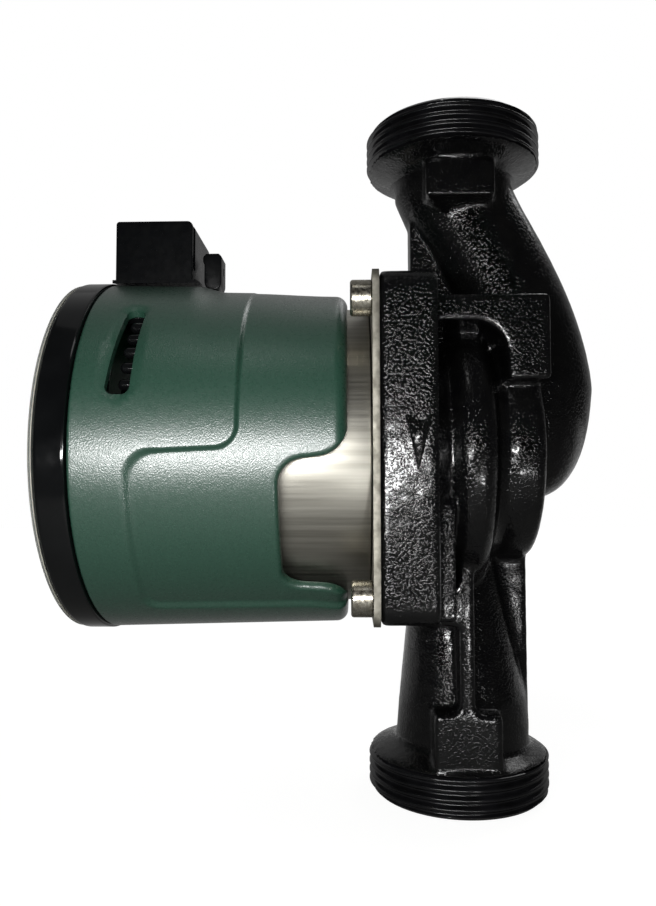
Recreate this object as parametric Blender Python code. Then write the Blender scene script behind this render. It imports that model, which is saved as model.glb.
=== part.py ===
"""In-line circulator pump: cast casing, wet-rotor motor and electronics head. Sizes are in millimetres."""
import math

import bmesh
import bpy
from mathutils import Matrix
from mathutils import Vector

MM = 0.001

# Driving sizes
PORT_SPAN = 180.0
PORT_R = 23.9
PORT_LENGTH = 10.2
BORE_R = 12.4
FLANGE_MARGIN = 1.4
FLANGE_FACE_X = -22.0
FLANGE_LENGTH = 13.4
PLATE_THICKNESS = 1.6
SCREW_INSET = 6.0
SCREW_R = 2.5
HEAD_R = 4.25
HEAD_LENGTH = 5.0
IMPELLER_R = 27.0
EYE_R = 10.4
SHAFT_R = 4.0
ROTOR_R = 15.6
CAN_R = 39.6
CAN_LENGTH = 48.0
HOUSING_LENGTH = 62.0
HOUSING_WALL = 2.4
PANEL_STEP = 1.0
RING_LENGTH = 7.2
LENS_THICKNESS = 1.7
BUTTON_R = 6.8
BUTTON_TRAVEL = 0.6
GAP = 0.3
RUNNING = 0.05

# Sizes that follow from the driving ones
PORT_FACE = PORT_SPAN / 2
FLANGE_HALF = CAN_R + FLANGE_MARGIN
FLANGE_BACK_X = FLANGE_FACE_X + FLANGE_LENGTH
PLATE_BACK_X = FLANGE_FACE_X - 0.1
PLATE_FACE_X = PLATE_BACK_X - PLATE_THICKNESS
SCREW_HALF = FLANGE_HALF - SCREW_INSET
CHAMBER_R = IMPELLER_R + 2.5
VOLUTE_R = CHAMBER_R + 8.3
DRUM_R = CHAMBER_R - 1.0
DRUM_END_X = 18.8
CAST_WALL = 3.8
RECESS_R = FLANGE_HALF - 5.0
RECESS_X = FLANGE_FACE_X + 4.8
CAN_BACK_X = PLATE_FACE_X - GAP
CAN_FRONT_X = CAN_BACK_X - CAN_LENGTH
HOUSING_BACK_X = CAN_BACK_X - 5.5
HOUSING_FRONT_X = HOUSING_BACK_X - HOUSING_LENGTH
HOUSING_BACK_R = CAN_R + 5.5
HOUSING_FRONT_R = CAN_R + 7.0
RING_BACK_X = HOUSING_FRONT_X - GAP
RING_FRONT_X = RING_BACK_X - RING_LENGTH
RING_R = HOUSING_FRONT_R + 0.4
LENS_BACK_X = RING_FRONT_X - GAP
LENS_FRONT_X = LENS_BACK_X - LENS_THICKNESS
CUP_R = ROTOR_R + 1.4

TURN = 36


def clear_scene():
    """Removes everything that the start-up scene holds."""
    for item in list(bpy.data.objects):
        bpy.data.objects.remove(item, do_unlink=True)


def new_collection(name):
    group = bpy.data.collections.new(name)
    bpy.context.scene.collection.children.link(group)
    return group


def material(name, colour, metallic=0.0, roughness=0.5):
    """One Principled material."""
    made = bpy.data.materials.new(name)
    made.use_nodes = True
    shader = made.node_tree.nodes["Principled BSDF"]
    shader.inputs["Base Color"].default_value = (*colour, 1.0)
    shader.inputs["Metallic"].default_value = metallic
    shader.inputs["Roughness"].default_value = roughness
    made.diffuse_color = (*colour, 1.0)
    return made


clear_scene()
PARTS = new_collection("Circulator pump")
CUTTERS = new_collection("Cutters")


def to_object(bm, name, look=None, origin=(0, 0, 0), curved=False):
    """Turns a bmesh in millimetres into an object: a part with a look, or a cutter without one."""
    bmesh.ops.recalc_face_normals(bm, faces=bm.faces)
    if bm.calc_volume(signed=True) < 0:
        bmesh.ops.reverse_faces(bm, faces=bm.faces)
    if curved:
        bmesh.ops.triangulate(bm, faces=bm.faces)
    bmesh.ops.translate(bm, verts=bm.verts, vec=-Vector(origin))
    bmesh.ops.scale(bm, verts=bm.verts, vec=(MM, MM, MM))
    mesh = bpy.data.meshes.new(name)
    bm.to_mesh(mesh)
    bm.free()
    made = bpy.data.objects.new(name, mesh)
    made.location = Vector(origin) * MM
    if look is None:
        made.hide_render = True
        made.display_type = "WIRE"
        CUTTERS.objects.link(made)
    else:
        mesh.materials.append(look)
        PARTS.objects.link(made)
    return made


def combine(target, other, operation):
    """Adds one exact Boolean to the target."""
    change = target.modifiers.new(f"{operation} {other.name}", "BOOLEAN")
    change.operation = operation
    change.solver = "EXACT"
    change.object = other


def cut(target, *others):
    for other in others:
        combine(target, other, "DIFFERENCE")


def join(target, *others):
    for other in others:
        combine(target, other, "UNION")


def on_axis(axis, along, u, v):
    """A point at `along` on the axis, with u and v across it."""
    if axis == "X":
        return Vector((along, u, v))
    if axis == "Y":
        return Vector((u, along, v))
    return Vector((u, v, along))


def turned(name, profile, look=None, axis="X", centre=(0, 0), steps=TURN, reach=None):
    """A closed profile of (along, radius) turned about an axis; reach scales the radius with the angle."""
    bm = bmesh.new()
    rings = []
    for along, radius in profile:
        if radius == 0:
            rings.append([bm.verts.new(on_axis(axis, along, *centre))] * steps)
            continue
        ring = []
        for i in range(steps):
            angle = 2 * math.pi * i / steps
            far = radius + (reach(along, radius, math.degrees(angle)) if reach else 0)
            u = centre[0] - far * math.cos(angle)
            v = centre[1] + far * math.sin(angle)
            ring.append(bm.verts.new(on_axis(axis, along, u, v)))
        rings.append(ring)
    for one, two in zip(rings, rings[1:] + rings[:1]):
        for i in range(steps):
            j = (i + 1) % steps
            corners = list(dict.fromkeys((one[i], one[j], two[j], two[i])))
            if len(corners) > 2:
                bm.faces.new(corners)
    return to_object(bm, name, look, curved=reach is not None)


def tube_profile(x0, x1, inner, outer):
    return [(x0, inner), (x0, outer), (x1, outer), (x1, inner)]


def rod_profile(x0, x1, radius, chamfer=0.0):
    if chamfer:
        return [(x0, 0), (x0, radius - chamfer), (x0 + chamfer, radius), (x1 - chamfer, radius),
                (x1, radius - chamfer), (x1, 0)]
    return [(x0, 0), (x0, radius), (x1, radius), (x1, 0)]


def rounded(points, steps=4):
    """Outline of corners (u, v, radius): each corner becomes an arc of that radius."""
    outline = []
    count = len(points)
    for i, (u, v, radius) in enumerate(points):
        here = Vector((u, v))
        if not radius:
            outline.append(here)
            continue
        before = (Vector(points[i - 1][:2]) - here).normalized()
        after = (Vector(points[(i + 1) % count][:2]) - here).normalized()
        half = before.angle(after) / 2
        centre = here + (before + after).normalized() * radius / math.sin(half)
        start = here + before * radius / math.tan(half) - centre
        end = here + after * radius / math.tan(half) - centre
        sweep = start.angle_signed(end)
        for k in range(steps + 1):
            outline.append(centre + Matrix.Rotation(-sweep * k / steps, 2) @ start)
    return outline


def prism(name, outline, low, high, axis="X", look=None, origin=(0, 0, 0)):
    """An outline of (u, v) points drawn out along an axis."""
    bm = bmesh.new()
    bottom = [bm.verts.new(on_axis(axis, low, p[0], p[1])) for p in outline]
    top = [bm.verts.new(on_axis(axis, high, p[0], p[1])) for p in outline]
    bm.faces.new(bottom)
    bm.faces.new(top)
    for i in range(len(outline)):
        j = (i + 1) % len(outline)
        bm.faces.new((bottom[i], bottom[j], top[j], top[i]))
    return to_object(bm, name, look, origin)


def box(name, low, high, look=None):
    outline = [(low[1], low[2]), (high[1], low[2]), (high[1], high[2]), (low[1], high[2])]
    return prism(name, outline, low[0], high[0], "X", look)


def wrapped(name, outline, inner, outer, look=None, step=7.5):
    """An outline of (x, degrees above the near horizon) wrapped round the X axis.

    Each bound is a radius, or a function that gives the radius at (x, degrees).
    """
    bm = bmesh.new()
    bm.faces.new([bm.verts.new((x, angle, 0)) for x, angle in outline])
    bmesh.ops.triangulate(bm, faces=bm.faces)
    angles = [angle for _, angle in outline]
    for k in range(math.ceil(min(angles) / step), math.ceil(max(angles) / step)):
        geometry = list(bm.verts) + list(bm.edges) + list(bm.faces)
        bmesh.ops.bisect_plane(bm, geom=geometry, dist=1e-4, plane_co=(0, k * step, 0), plane_no=(0, 1, 0))
    skin = bmesh.ops.extrude_face_region(bm, geom=list(bm.faces))["geom"]
    raised = {v for v in skin if isinstance(v, bmesh.types.BMVert)}
    for v in bm.verts:
        bound = outer if v in raised else inner
        radius = bound(v.co.x, v.co.y) if callable(bound) else bound
        angle = math.radians(v.co.y)
        v.co = (v.co.x, -radius * math.cos(angle), radius * math.sin(angle))
    return to_object(bm, name, look, curved=True)


def swept(name, stations, look=None, steps=28):
    """Circles (x, z, radius) in the plane of the ports, joined into one closed tube."""
    bm = bmesh.new()
    rings = []
    last = len(stations) - 1
    for i, (x, z, radius) in enumerate(stations):
        before = stations[max(i - 1, 0)]
        after = stations[min(i + 1, last)]
        tangent = Vector((after[0] - before[0], 0, after[1] - before[1])).normalized()
        side = Vector((0, 1, 0)).cross(tangent)
        ring = []
        for k in range(steps):
            angle = 2 * math.pi * k / steps
            offset = side * math.cos(angle) + Vector((0, 1, 0)) * math.sin(angle)
            ring.append(bm.verts.new(Vector((x, 0, z)) + offset * radius))
        rings.append(ring)
    bm.faces.new(rings[0])
    bm.faces.new(rings[-1])
    for one, two in zip(rings, rings[1:]):
        for k in range(steps):
            j = (k + 1) % steps
            bm.faces.new((one[k], one[j], two[j], two[k]))
    return to_object(bm, name, look, curved=True)


# Materials
CAST_IRON = material("Painted cast iron", (0.012, 0.012, 0.013), 0.0, 0.3)
STEEL = material("Brushed steel", (0.52, 0.50, 0.47), 1.0, 0.35)
ZINC = material("Zinc plated steel", (0.62, 0.61, 0.58), 1.0, 0.3)
STAINLESS = material("Stainless steel", (0.56, 0.56, 0.56), 1.0, 0.25)
GREEN = material("Green moulded plastic", (0.029, 0.102, 0.060), 0.0, 0.45)
BLACK_GLOSS = material("Gloss black plastic", (0.008, 0.008, 0.009), 0.0, 0.12)
BLACK = material("Black moulded plastic", (0.012, 0.012, 0.013), 0.0, 0.4)
CLEAR = material("Clear plastic", (0.75, 0.78, 0.78), 0.0, 0.1)
COPPER = material("Enamelled copper wire", (0.45, 0.16, 0.06), 1.0, 0.4)
LAMINATION = material("Electrical steel", (0.20, 0.20, 0.21), 1.0, 0.5)
CERAMIC = material("Ceramic", (0.75, 0.73, 0.68), 0.0, 0.3)
CARBON = material("Carbon graphite", (0.05, 0.05, 0.055), 0.0, 0.5)
RUBBER = material("Black rubber", (0.02, 0.02, 0.02), 0.0, 0.8)
BOARD = material("Circuit board", (0.02, 0.12, 0.05), 0.0, 0.5)
ALUMINIUM = material("Aluminium", (0.65, 0.65, 0.66), 1.0, 0.4)
COMPOSITE = material("Glass filled plastic", (0.35, 0.34, 0.30), 0.0, 0.6)
FERRITE = material("Ferrite", (0.06, 0.06, 0.065), 0.0, 0.6)
BRASS = material("Tinned brass", (0.70, 0.66, 0.55), 1.0, 0.3)

# Pump casing, outside
EDGE_R = 5.0
HALF = FLANGE_HALF
square = [(-HALF, -HALF, EDGE_R), (HALF, -HALF, EDGE_R), (HALF, HALF, EDGE_R), (-HALF, HALF, EDGE_R)]
casing = prism("pump_casing", rounded(square), FLANGE_FACE_X, FLANGE_BACK_X, "X", CAST_IRON)
SCREW_END_X = FLANGE_BACK_X - 2.6
corners = [(-1, 1, "near_top"), (1, 1, "far_top"), (-1, -1, "near_foot"), (1, -1, "far_foot")]
for side, up, place in corners:
    centre = (side * SCREW_HALF, up * SCREW_HALF)
    hole_profile = rod_profile(FLANGE_FACE_X - 2, SCREW_END_X + 0.7, SCREW_R + 0.2)
    cut(casing, turned(f"cut_screw_{place}", hole_profile, centre=centre, steps=12))

SCROLL_GROWTH = 3.0
RIDGE_X0 = -3.2
RIDGE_X1 = 5.6


def scroll(along, radius, angle):
    """How much the scroll falls back from its full radius: it grows from the far foot over the top."""
    turn = (angle + 270) % 360 / 360
    return -SCROLL_GROWTH * turn if radius > CHAMBER_R + 3.0 else 0


drum_profile = [
    (FLANGE_BACK_X - 3.0, 0), (FLANGE_BACK_X - 3.0, VOLUTE_R - 4.0), (RIDGE_X0 - 1.0, VOLUTE_R - 4.0),
    (RIDGE_X0, VOLUTE_R - 1.4), (RIDGE_X0 + 2.0, VOLUTE_R), (RIDGE_X1 - 2.2, VOLUTE_R),
    (RIDGE_X1, VOLUTE_R - 2.0), (RIDGE_X1 + 1.2, DRUM_R + 1.0), (RIDGE_X1 + 4.2, DRUM_R - 1.0),
    (RIDGE_X1 + 5.4, DRUM_R), (DRUM_END_X - 1.5, DRUM_R), (DRUM_END_X, DRUM_R - 1.5), (DRUM_END_X, 0),
]
drum = turned("casing_drum", drum_profile, steps=TURN, reach=scroll)

ELBOW_X = 20.0
ELBOW_Z = 18.0
NECK_Z = PORT_FACE - 16.0
NECK_R = 14.5
ELBOW_R = 17.4
DOME = 30.3


def suction_path(thickness, top):
    """Circles down the suction bend, with the wall's thickness taken off each radius."""
    path = [(0.0, top, BORE_R if thickness else NECK_R + 1.5)]
    for k in range(7):
        t = k / 6
        x = ELBOW_X * math.sin(math.pi / 2 * t) ** 1.1
        radius = NECK_R + (ELBOW_R - NECK_R) * t ** 2.5 + 1.6 * max(0.0, 1 - 4 * t) ** 2
        path.append((x, NECK_Z + (ELBOW_Z - NECK_Z) * t, radius - thickness))
    for u in (0.35, 0.6, 0.78, 0.9, 0.97):
        radius = (ELBOW_R - thickness) * (1 - u ** 2.6) ** (1 / 2.6)
        path.append((ELBOW_X - 3.0 * u, ELBOW_Z - (DOME - thickness) * u, radius))
    return path


suction = swept("casing_suction", suction_path(0.0, PORT_FACE - 4.0))

SHOULDER = PORT_FACE - PORT_LENGTH


def port_profile(sign):
    """Threaded end with its cone below, turned about the port axis."""
    steps = [(SHOULDER - 7.0, 0), (SHOULDER - 7.0, NECK_R + 0.4), (SHOULDER - 3.2, NECK_R + 2.2),
             (SHOULDER, PORT_R), (PORT_FACE - 1.3, PORT_R), (PORT_FACE, PORT_R - 1.3), (PORT_FACE, 0)]
    return [(sign * z, radius) for z, radius in steps]


inlet_end = turned("casing_inlet_end", port_profile(1), axis="Z")
outlet_end = turned("casing_outlet_end", port_profile(-1), axis="Z")
STEM_TOP = -(CHAMBER_R + 4.0)
STEM_END = -SHOULDER - 2.0
stem_profile = [(STEM_TOP, 0), (STEM_TOP, NECK_R - 2.0), (-FLANGE_HALF - 8.0, NECK_R - 1.4),
                (5.0 - SHOULDER, NECK_R + 1.4), (STEM_END, NECK_R + 3.0), (STEM_END, 0)]
stem = turned("casing_stem", stem_profile, axis="Z", steps=24)

PAD_HALF = 8.4
PAD_Y = PORT_R - 1.9
PAD_EDGE = SHOULDER - 2.3
INLET_PAD = 10.2
OUTLET_PAD = 12.2
PAD_RUN = 9.0
PAD_FOOT = PAD_EDGE - INLET_PAD
PAD_ROOT = NECK_R - 3.0
pad_side = [(-PAD_Y, PAD_EDGE), (PAD_Y, PAD_EDGE), (PAD_Y, PAD_FOOT), (PAD_ROOT, PAD_FOOT - PAD_RUN),
            (-PAD_ROOT, PAD_FOOT - PAD_RUN), (-PAD_Y, PAD_FOOT)]
inlet_pads = prism("casing_inlet_pads", pad_side, -PAD_HALF, PAD_HALF)
outlet_corner = (PAD_HALF, PAD_Y, OUTLET_PAD - PAD_EDGE)
outlet_pads = box("casing_outlet_pads", (-PAD_HALF, -PAD_Y, -PAD_EDGE), outlet_corner)

RIB_Y = PAD_Y - 0.2
RIB_X0 = -2.0
RIB_X1 = 1.7
RIB_FOOT = 3.0 - PAD_EDGE
RIB_WIDE_X = FLANGE_BACK_X + 1.6
rib_outline = [(RIB_X1, 6 - CHAMBER_R), (RIB_X0, 6 - CHAMBER_R), (RIB_X0, -2.5 - CHAMBER_R),
               (RIB_WIDE_X, -FLANGE_HALF - 1.8), (RIB_WIDE_X, -FLANGE_HALF - 2.6), (RIB_X0, -FLANGE_HALF - 3.0),
               (RIB_X0, RIB_FOOT), (RIB_X1, RIB_FOOT)]
rib = prism("casing_rib", rib_outline, -RIB_Y, RIB_Y, "Y")

WEB_Y = 4.5
WEB_END_X = DRUM_END_X - 0.4
WEB_TOP = 8.0 - DRUM_R
outlet_web_outline = [(3.0, WEB_TOP), (WEB_END_X, WEB_TOP), (WEB_END_X, -SHOULDER - 1), (3.0, -SHOULDER - 1)]
outlet_web = prism("casing_outlet_web", outlet_web_outline, -WEB_Y, WEB_Y, "Y")
inlet_web_outline = [(-12.2, FLANGE_HALF - 3), (3.0, FLANGE_HALF - 3), (3.0, NECK_Z), (-12.2, NECK_Z - 6)]
inlet_web = prism("casing_inlet_web", inlet_web_outline, -WEB_Y, WEB_Y, "Y")

TABLET_Y = -CHAMBER_R
tablet_corners = [(FLANGE_BACK_X - 1, 37.5, 0), (19.6, 37.5, 1.0), (19.6, 16.6, 1.0), (9.4, 16.6, 0),
                  (9.4, 31.0, 8.5), (FLANGE_BACK_X - 1, 31.0, 0)]
tablet = prism("casing_tablet", rounded(tablet_corners), TABLET_Y, -6.0, "Y")

join(casing, drum, suction, inlet_end, stem, outlet_end, inlet_pads, outlet_pads)
join(casing, rib, outlet_web, inlet_web, tablet)

# Pump casing, water passages and screw holes
recess = turned("cut_recess", rod_profile(FLANGE_FACE_X - 2, RECESS_X, RECESS_R))
CHAMBER_END_X = RIDGE_X1 - 0.8
chamber = turned("cut_chamber", rod_profile(RECESS_X - 1, CHAMBER_END_X - 3.0, CHAMBER_R))
CHANNEL_R = VOLUTE_R - CAST_WALL
channel_profile = [(RIDGE_X0 + 0.6, 0), (RIDGE_X0 + 0.6, CHANNEL_R), (CHAMBER_END_X - 1.5, CHANNEL_R),
                   (CHAMBER_END_X, CHAMBER_R), (CHAMBER_END_X, 0)]
channel = turned("cut_channel", channel_profile, reach=scroll)
WEAR_R = EYE_R + 5.0
WEAR_END_X = CHAMBER_END_X + 4.4
wear_seat = turned("cut_wear_seat", rod_profile(CHAMBER_END_X - 1, WEAR_END_X, WEAR_R), steps=28)
eye_bore = turned("cut_eye_bore", rod_profile(CHAMBER_END_X - 2, ELBOW_X - 3.7, EYE_R + 0.6), steps=26)
suction_bore = swept("cut_suction_bore", suction_path(CAST_WALL, PORT_FACE + 3.0), steps=20)
THROAT_TOP = 6.0 - CHAMBER_R
throat_profile = [(THROAT_TOP, 0), (THROAT_TOP, 8.6), (-FLANGE_HALF, 8.8), (-PORT_FACE - 3, BORE_R),
                  (-PORT_FACE - 3, 0)]
throat = turned("cut_throat", throat_profile, axis="Z", steps=24)
cut(casing, recess, chamber, channel, wear_seat, eye_bore, suction_bore, throat)

# Wear ring, seal ring, bearing plate and rotor can
NECK_OUT_R = EYE_R + 1.6
wear_profile = tube_profile(CHAMBER_END_X + GAP, WEAR_END_X - GAP, NECK_OUT_R + GAP, WEAR_R - GAP)
turned("wear_ring", wear_profile, STAINLESS, steps=28)
CUP_FLANGE_R = RECESS_R - 0.4
CUP_FLANGE_X = PLATE_BACK_X + GAP
CUP_WALL = 0.6
CUP_FLANGE_T = 1.0
SEAL_IN_R = CUP_FLANGE_R - 3.3
SEAL_X0 = CUP_FLANGE_X + CUP_FLANGE_T + GAP
SEAL_X1 = RECESS_X - GAP
turned("casing_seal_ring", tube_profile(SEAL_X0, SEAL_X1, SEAL_IN_R, CUP_FLANGE_R), RUBBER, steps=28)
BUSH_R = SHAFT_R + 4.0
HUB_R = BUSH_R + GAP + 2.6
HUB_X0 = SEAL_X0 - 5.0
HUB_X1 = RECESS_X + 1.6
PLATE_DISC_X1 = RECESS_X - GAP
bearing_profile = [(HUB_X0, BUSH_R + GAP), (HUB_X0, HUB_R), (SEAL_X0, HUB_R), (SEAL_X0, SEAL_IN_R - GAP),
                   (PLATE_DISC_X1, SEAL_IN_R - GAP), (PLATE_DISC_X1, HUB_R + 4.0), (HUB_X1, HUB_R),
                   (HUB_X1, BUSH_R + GAP)]
bearing_plate = turned("bearing_plate", bearing_profile, STAINLESS, steps=28)
VENT_RING_R = (HUB_R + SEAL_IN_R) / 2 + 3.0
for k in range(2):
    angle = math.radians(37 + 180 * k)
    centre = (VENT_RING_R * math.cos(angle), VENT_RING_R * math.sin(angle))
    vent_profile = rod_profile(SEAL_X0 - 2, PLATE_DISC_X1 + 2, 2.2)
    cut(bearing_plate, turned(f"cut_plate_vent_{k}", vent_profile, centre=centre, steps=8))

CUP_END_X = CAN_FRONT_X + 1.8
POCKET_R = BUSH_R + GAP + 0.9
POCKET_X = CUP_END_X + 9.5
cup_profile = [(CUP_END_X, 0), (CUP_END_X, POCKET_R), (POCKET_X - CUP_WALL, POCKET_R),
               (POCKET_X - CUP_WALL, CUP_R), (CUP_FLANGE_X, CUP_R), (CUP_FLANGE_X, CUP_FLANGE_R),
               (CUP_FLANGE_X + CUP_FLANGE_T, CUP_FLANGE_R), (CUP_FLANGE_X + CUP_FLANGE_T, CUP_R - CUP_WALL),
               (POCKET_X, CUP_R - CUP_WALL), (POCKET_X, BUSH_R + GAP), (CUP_END_X + 0.8, BUSH_R + GAP),
               (CUP_END_X + 0.8, 0)]
turned("rotor_can", cup_profile, STAINLESS, steps=28)

# Turning set: shaft, rotor core, thrust washer, impeller, and the two bushes that carry it
REAR_BUSH_X0 = CUP_END_X + 0.8 + GAP
REAR_BUSH_X1 = POCKET_X - GAP
FRONT_BUSH_X0 = HUB_X0
FRONT_BUSH_X1 = HUB_X1
turned("rear_bush", tube_profile(REAR_BUSH_X0, REAR_BUSH_X1, SHAFT_R + RUNNING, BUSH_R), CARBON, steps=28)
turned("front_bush", tube_profile(FRONT_BUSH_X0, FRONT_BUSH_X1, SHAFT_R + RUNNING, BUSH_R), CARBON, steps=28)
BACK_SHROUD_X0 = RECESS_X + 4.4
BACK_SHROUD_X1 = BACK_SHROUD_X0 + 2.2
FRONT_SHROUD_X1 = CHAMBER_END_X - 1.2
FRONT_SHROUD_X0 = FRONT_SHROUD_X1 - 1.8
HUB_END_X = FRONT_SHROUD_X0 + 0.6
turned("shaft", rod_profile(REAR_BUSH_X0 + 0.6, HUB_END_X - 1.2, SHAFT_R, 0.5), CERAMIC, steps=28)
WASHER_X1 = FRONT_BUSH_X0 - GAP
WASHER_X0 = WASHER_X1 - 2.0
turned("thrust_washer", tube_profile(WASHER_X0, WASHER_X1, SHAFT_R + GAP, BUSH_R), CERAMIC, steps=24)
ROTOR_X0 = POCKET_X + 2.0
ROTOR_X1 = WASHER_X0 - GAP
turned("rotor_core", tube_profile(ROTOR_X0, ROTOR_X1, SHAFT_R + GAP, ROTOR_R), STAINLESS, steps=28)

HUB_BORE_R = SHAFT_R + GAP
back_profile = [(BACK_SHROUD_X0, HUB_BORE_R), (BACK_SHROUD_X0, IMPELLER_R), (BACK_SHROUD_X1, IMPELLER_R),
                (BACK_SHROUD_X1 + 1.0, HUB_BORE_R + 5.0), (HUB_END_X - 2.0, HUB_BORE_R + 2.4),
                (HUB_END_X, HUB_BORE_R + 1.2), (HUB_END_X, 0), (HUB_END_X - 1.0, 0),
                (HUB_END_X - 1.0, HUB_BORE_R)]
impeller = turned("impeller", back_profile, COMPOSITE, steps=24)
NECK_END_X = WEAR_END_X - 1.6
front_profile = [(FRONT_SHROUD_X0, EYE_R + 0.6), (FRONT_SHROUD_X0, IMPELLER_R), (FRONT_SHROUD_X1, IMPELLER_R),
                 (FRONT_SHROUD_X1, NECK_OUT_R), (NECK_END_X, NECK_OUT_R), (NECK_END_X, EYE_R)]
front_shroud = turned("impeller_front", front_profile, steps=24)
BLADES = 6
BLADE_HALF = 0.9


def blade_outline(turn):
    """A backward-curved blade between the eye and the rim."""
    sides = ([], [])
    for k in range(5):
        t = k / 4
        radius = EYE_R - 1.4 + (IMPELLER_R - 0.3 - EYE_R + 1.4) * t
        angle = turn + math.radians(-62) * t ** 0.8
        slope = Vector((math.cos(angle), math.sin(angle)))
        across = Vector((-slope.y, slope.x)) * BLADE_HALF
        sides[0].append(slope * radius + across)
        sides[1].append(slope * radius - across)
    return sides[0] + sides[1][::-1]


for k in range(BLADES):
    outline = blade_outline(2 * math.pi * k / BLADES)
    join(impeller, prism(f"impeller_blade_{k}", outline, BACK_SHROUD_X1 - 0.8, FRONT_SHROUD_X0 + 0.8))
join(impeller, front_shroud)

# Motor: can, stator core and coils
CAN_WALL = 1.0
can_profile = [(CAN_FRONT_X, POCKET_R + 3.0), (CAN_FRONT_X, CAN_R - 1.2), (CAN_FRONT_X + 1.2, CAN_R),
               (CAN_BACK_X, CAN_R), (CAN_BACK_X, CAN_R - CAN_WALL), (CAN_FRONT_X + CAN_WALL, CAN_R - CAN_WALL),
               (CAN_FRONT_X + CAN_WALL, POCKET_R + 3.0)]
turned("motor_can", can_profile, STEEL)
CORE_OUT_R = CAN_R - CAN_WALL - GAP
YOKE_R = CORE_OUT_R - 5.5
TOOTH_TIP_R = CUP_R + GAP
TOOTH_HALF = 4.2
CORE_MID_X = (POCKET_X + CAN_BACK_X) / 2 + 0.6
CORE_HALF = CAN_LENGTH * 0.26
core_x0 = CORE_MID_X - CORE_HALF
core_x1 = CORE_MID_X + CORE_HALF
stator = turned("stator_core", tube_profile(core_x0, core_x1, YOKE_R, CORE_OUT_R), LAMINATION)
COIL_WALL = 4.4
COIL_IN_R = TOOTH_TIP_R + 2.6
COIL_OUT_R = YOKE_R - GAP - 1.2
TEETH = 6
for k in range(TEETH):
    angle = 2 * math.pi * k / TEETH + math.pi / 6
    turn = Matrix.Rotation(angle, 2)
    tooth_outline = [(TOOTH_TIP_R, -TOOTH_HALF), (YOKE_R + 2.0, -TOOTH_HALF), (YOKE_R + 2.0, TOOTH_HALF),
                     (TOOTH_TIP_R, TOOTH_HALF)]
    join(stator, prism(f"stator_tooth_{k}", [turn @ Vector(p) for p in tooth_outline], core_x0, core_x1))
    wide = TOOTH_HALF + GAP + COIL_WALL
    slim = TOOTH_HALF + GAP
    coil_outline = [(COIL_IN_R, -wide), (COIL_OUT_R, -wide), (COIL_OUT_R, wide), (COIL_IN_R, wide)]
    hole_outline = [(COIL_IN_R - 3, -slim), (COIL_OUT_R + 3, -slim), (COIL_OUT_R + 3, slim),
                    (COIL_IN_R - 3, slim)]
    coil_low = core_x0 - GAP - COIL_WALL
    coil_high = core_x1 + GAP + COIL_WALL
    coil_turned = [turn @ Vector(p) for p in coil_outline]
    hole_turned = [turn @ Vector(p) for p in hole_outline]
    coil = prism(f"stator_coil_{k + 1}", coil_turned, coil_low, coil_high, "X", COPPER)
    cut(coil, prism(f"cut_coil_{k}", hole_turned, core_x0 - GAP, core_x1 + GAP))

# Clamp plate and its four socket screws
plate_square = [(u, v, 3.0) for u, v, _ in square]
clamp_plate = prism("clamp_plate", rounded(plate_square), PLATE_FACE_X, PLATE_BACK_X, "X", STEEL)
cut(clamp_plate, turned("cut_plate_mouth", rod_profile(PLATE_FACE_X - 2, PLATE_BACK_X + 2, CUP_FLANGE_R - 2.0)))
HEAD_X1 = PLATE_FACE_X - 0.1
HEAD_X0 = HEAD_X1 - HEAD_LENGTH
SOCKET_R = HEAD_R * 0.54
for side, up, place in corners:
    centre = (side * SCREW_HALF, up * SCREW_HALF)
    through = rod_profile(PLATE_FACE_X - 2, PLATE_BACK_X + 2, SCREW_R + 0.3)
    cut(clamp_plate, turned(f"cut_clearance_{place}", through, centre=centre, steps=12))
    screw_profile = [(HEAD_X0, 0), (HEAD_X0, HEAD_R - 0.4), (HEAD_X0 + 0.4, HEAD_R), (HEAD_X1, HEAD_R),
                     (HEAD_X1, SCREW_R), (SCREW_END_X, SCREW_R), (SCREW_END_X, 0)]
    screw = turned(f"flange_screw_{place}", screw_profile, ZINC, centre=centre, steps=12)
    socket = rod_profile(HEAD_X0 - 1, HEAD_X0 + HEAD_LENGTH * 0.5, SOCKET_R)
    cut(screw, turned(f"cut_socket_{place}", socket, centre=centre, steps=6))

# Electronics housing: shell, recessed side panel, scallops and vent slots
PLUG_X0 = HOUSING_FRONT_X - 0.7
PLUG_X1 = PLUG_X0 + 20.9
TOP_FALL = 1.5
FALL_X0 = PLUG_X1 + 1.3
FALL_X1 = FALL_X0 + 8.0


def smooth(value, low, high):
    """Rises smoothly from 0 at low to 1 at high."""
    t = min(max((value - low) / (high - low), 0.0), 1.0)
    return t * t * (3 - 2 * t)


def crown(angle):
    """1 over the top of the shell and 0 on its sides."""
    return smooth(math.sin(math.radians(angle)), 0.5, 0.95)


def housing_r(x, angle=0.0):
    """Outer radius of the shell: a slight taper, lower on top behind the connector's seat."""
    t = min(max((HOUSING_BACK_X - x) / HOUSING_LENGTH, 0.0), 1.0)
    side = HOUSING_BACK_R + (HOUSING_FRONT_R - HOUSING_BACK_R) * t
    return side - TOP_FALL * smooth(x, FALL_X0, FALL_X1) * crown(angle)


def top_fall(along, radius, angle):
    """How far the shell's top lies below its sides, for its outer and inner skins."""
    return housing_r(along, angle) - housing_r(along) if radius > CAN_R + 1.0 else 0


def degrees_of(length):
    """Degrees of a length measured round the shell."""
    return math.degrees(length / (CAN_R + 4.4))


def wrap_corners(points):
    """Rounds an outline of (x, degrees, radius in millimetres) on the unrolled shell."""
    one = degrees_of(1.0)
    flat = [(x, angle / one, radius) for x, angle, radius in points]
    return [(p[0], p[1] * one) for p in rounded(flat, 3)]


FAR_SIDE = 180.3


def far_side(points):
    """The same outline on the far side."""
    return [(x, FAR_SIDE - angle) for x, angle in points]


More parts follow.
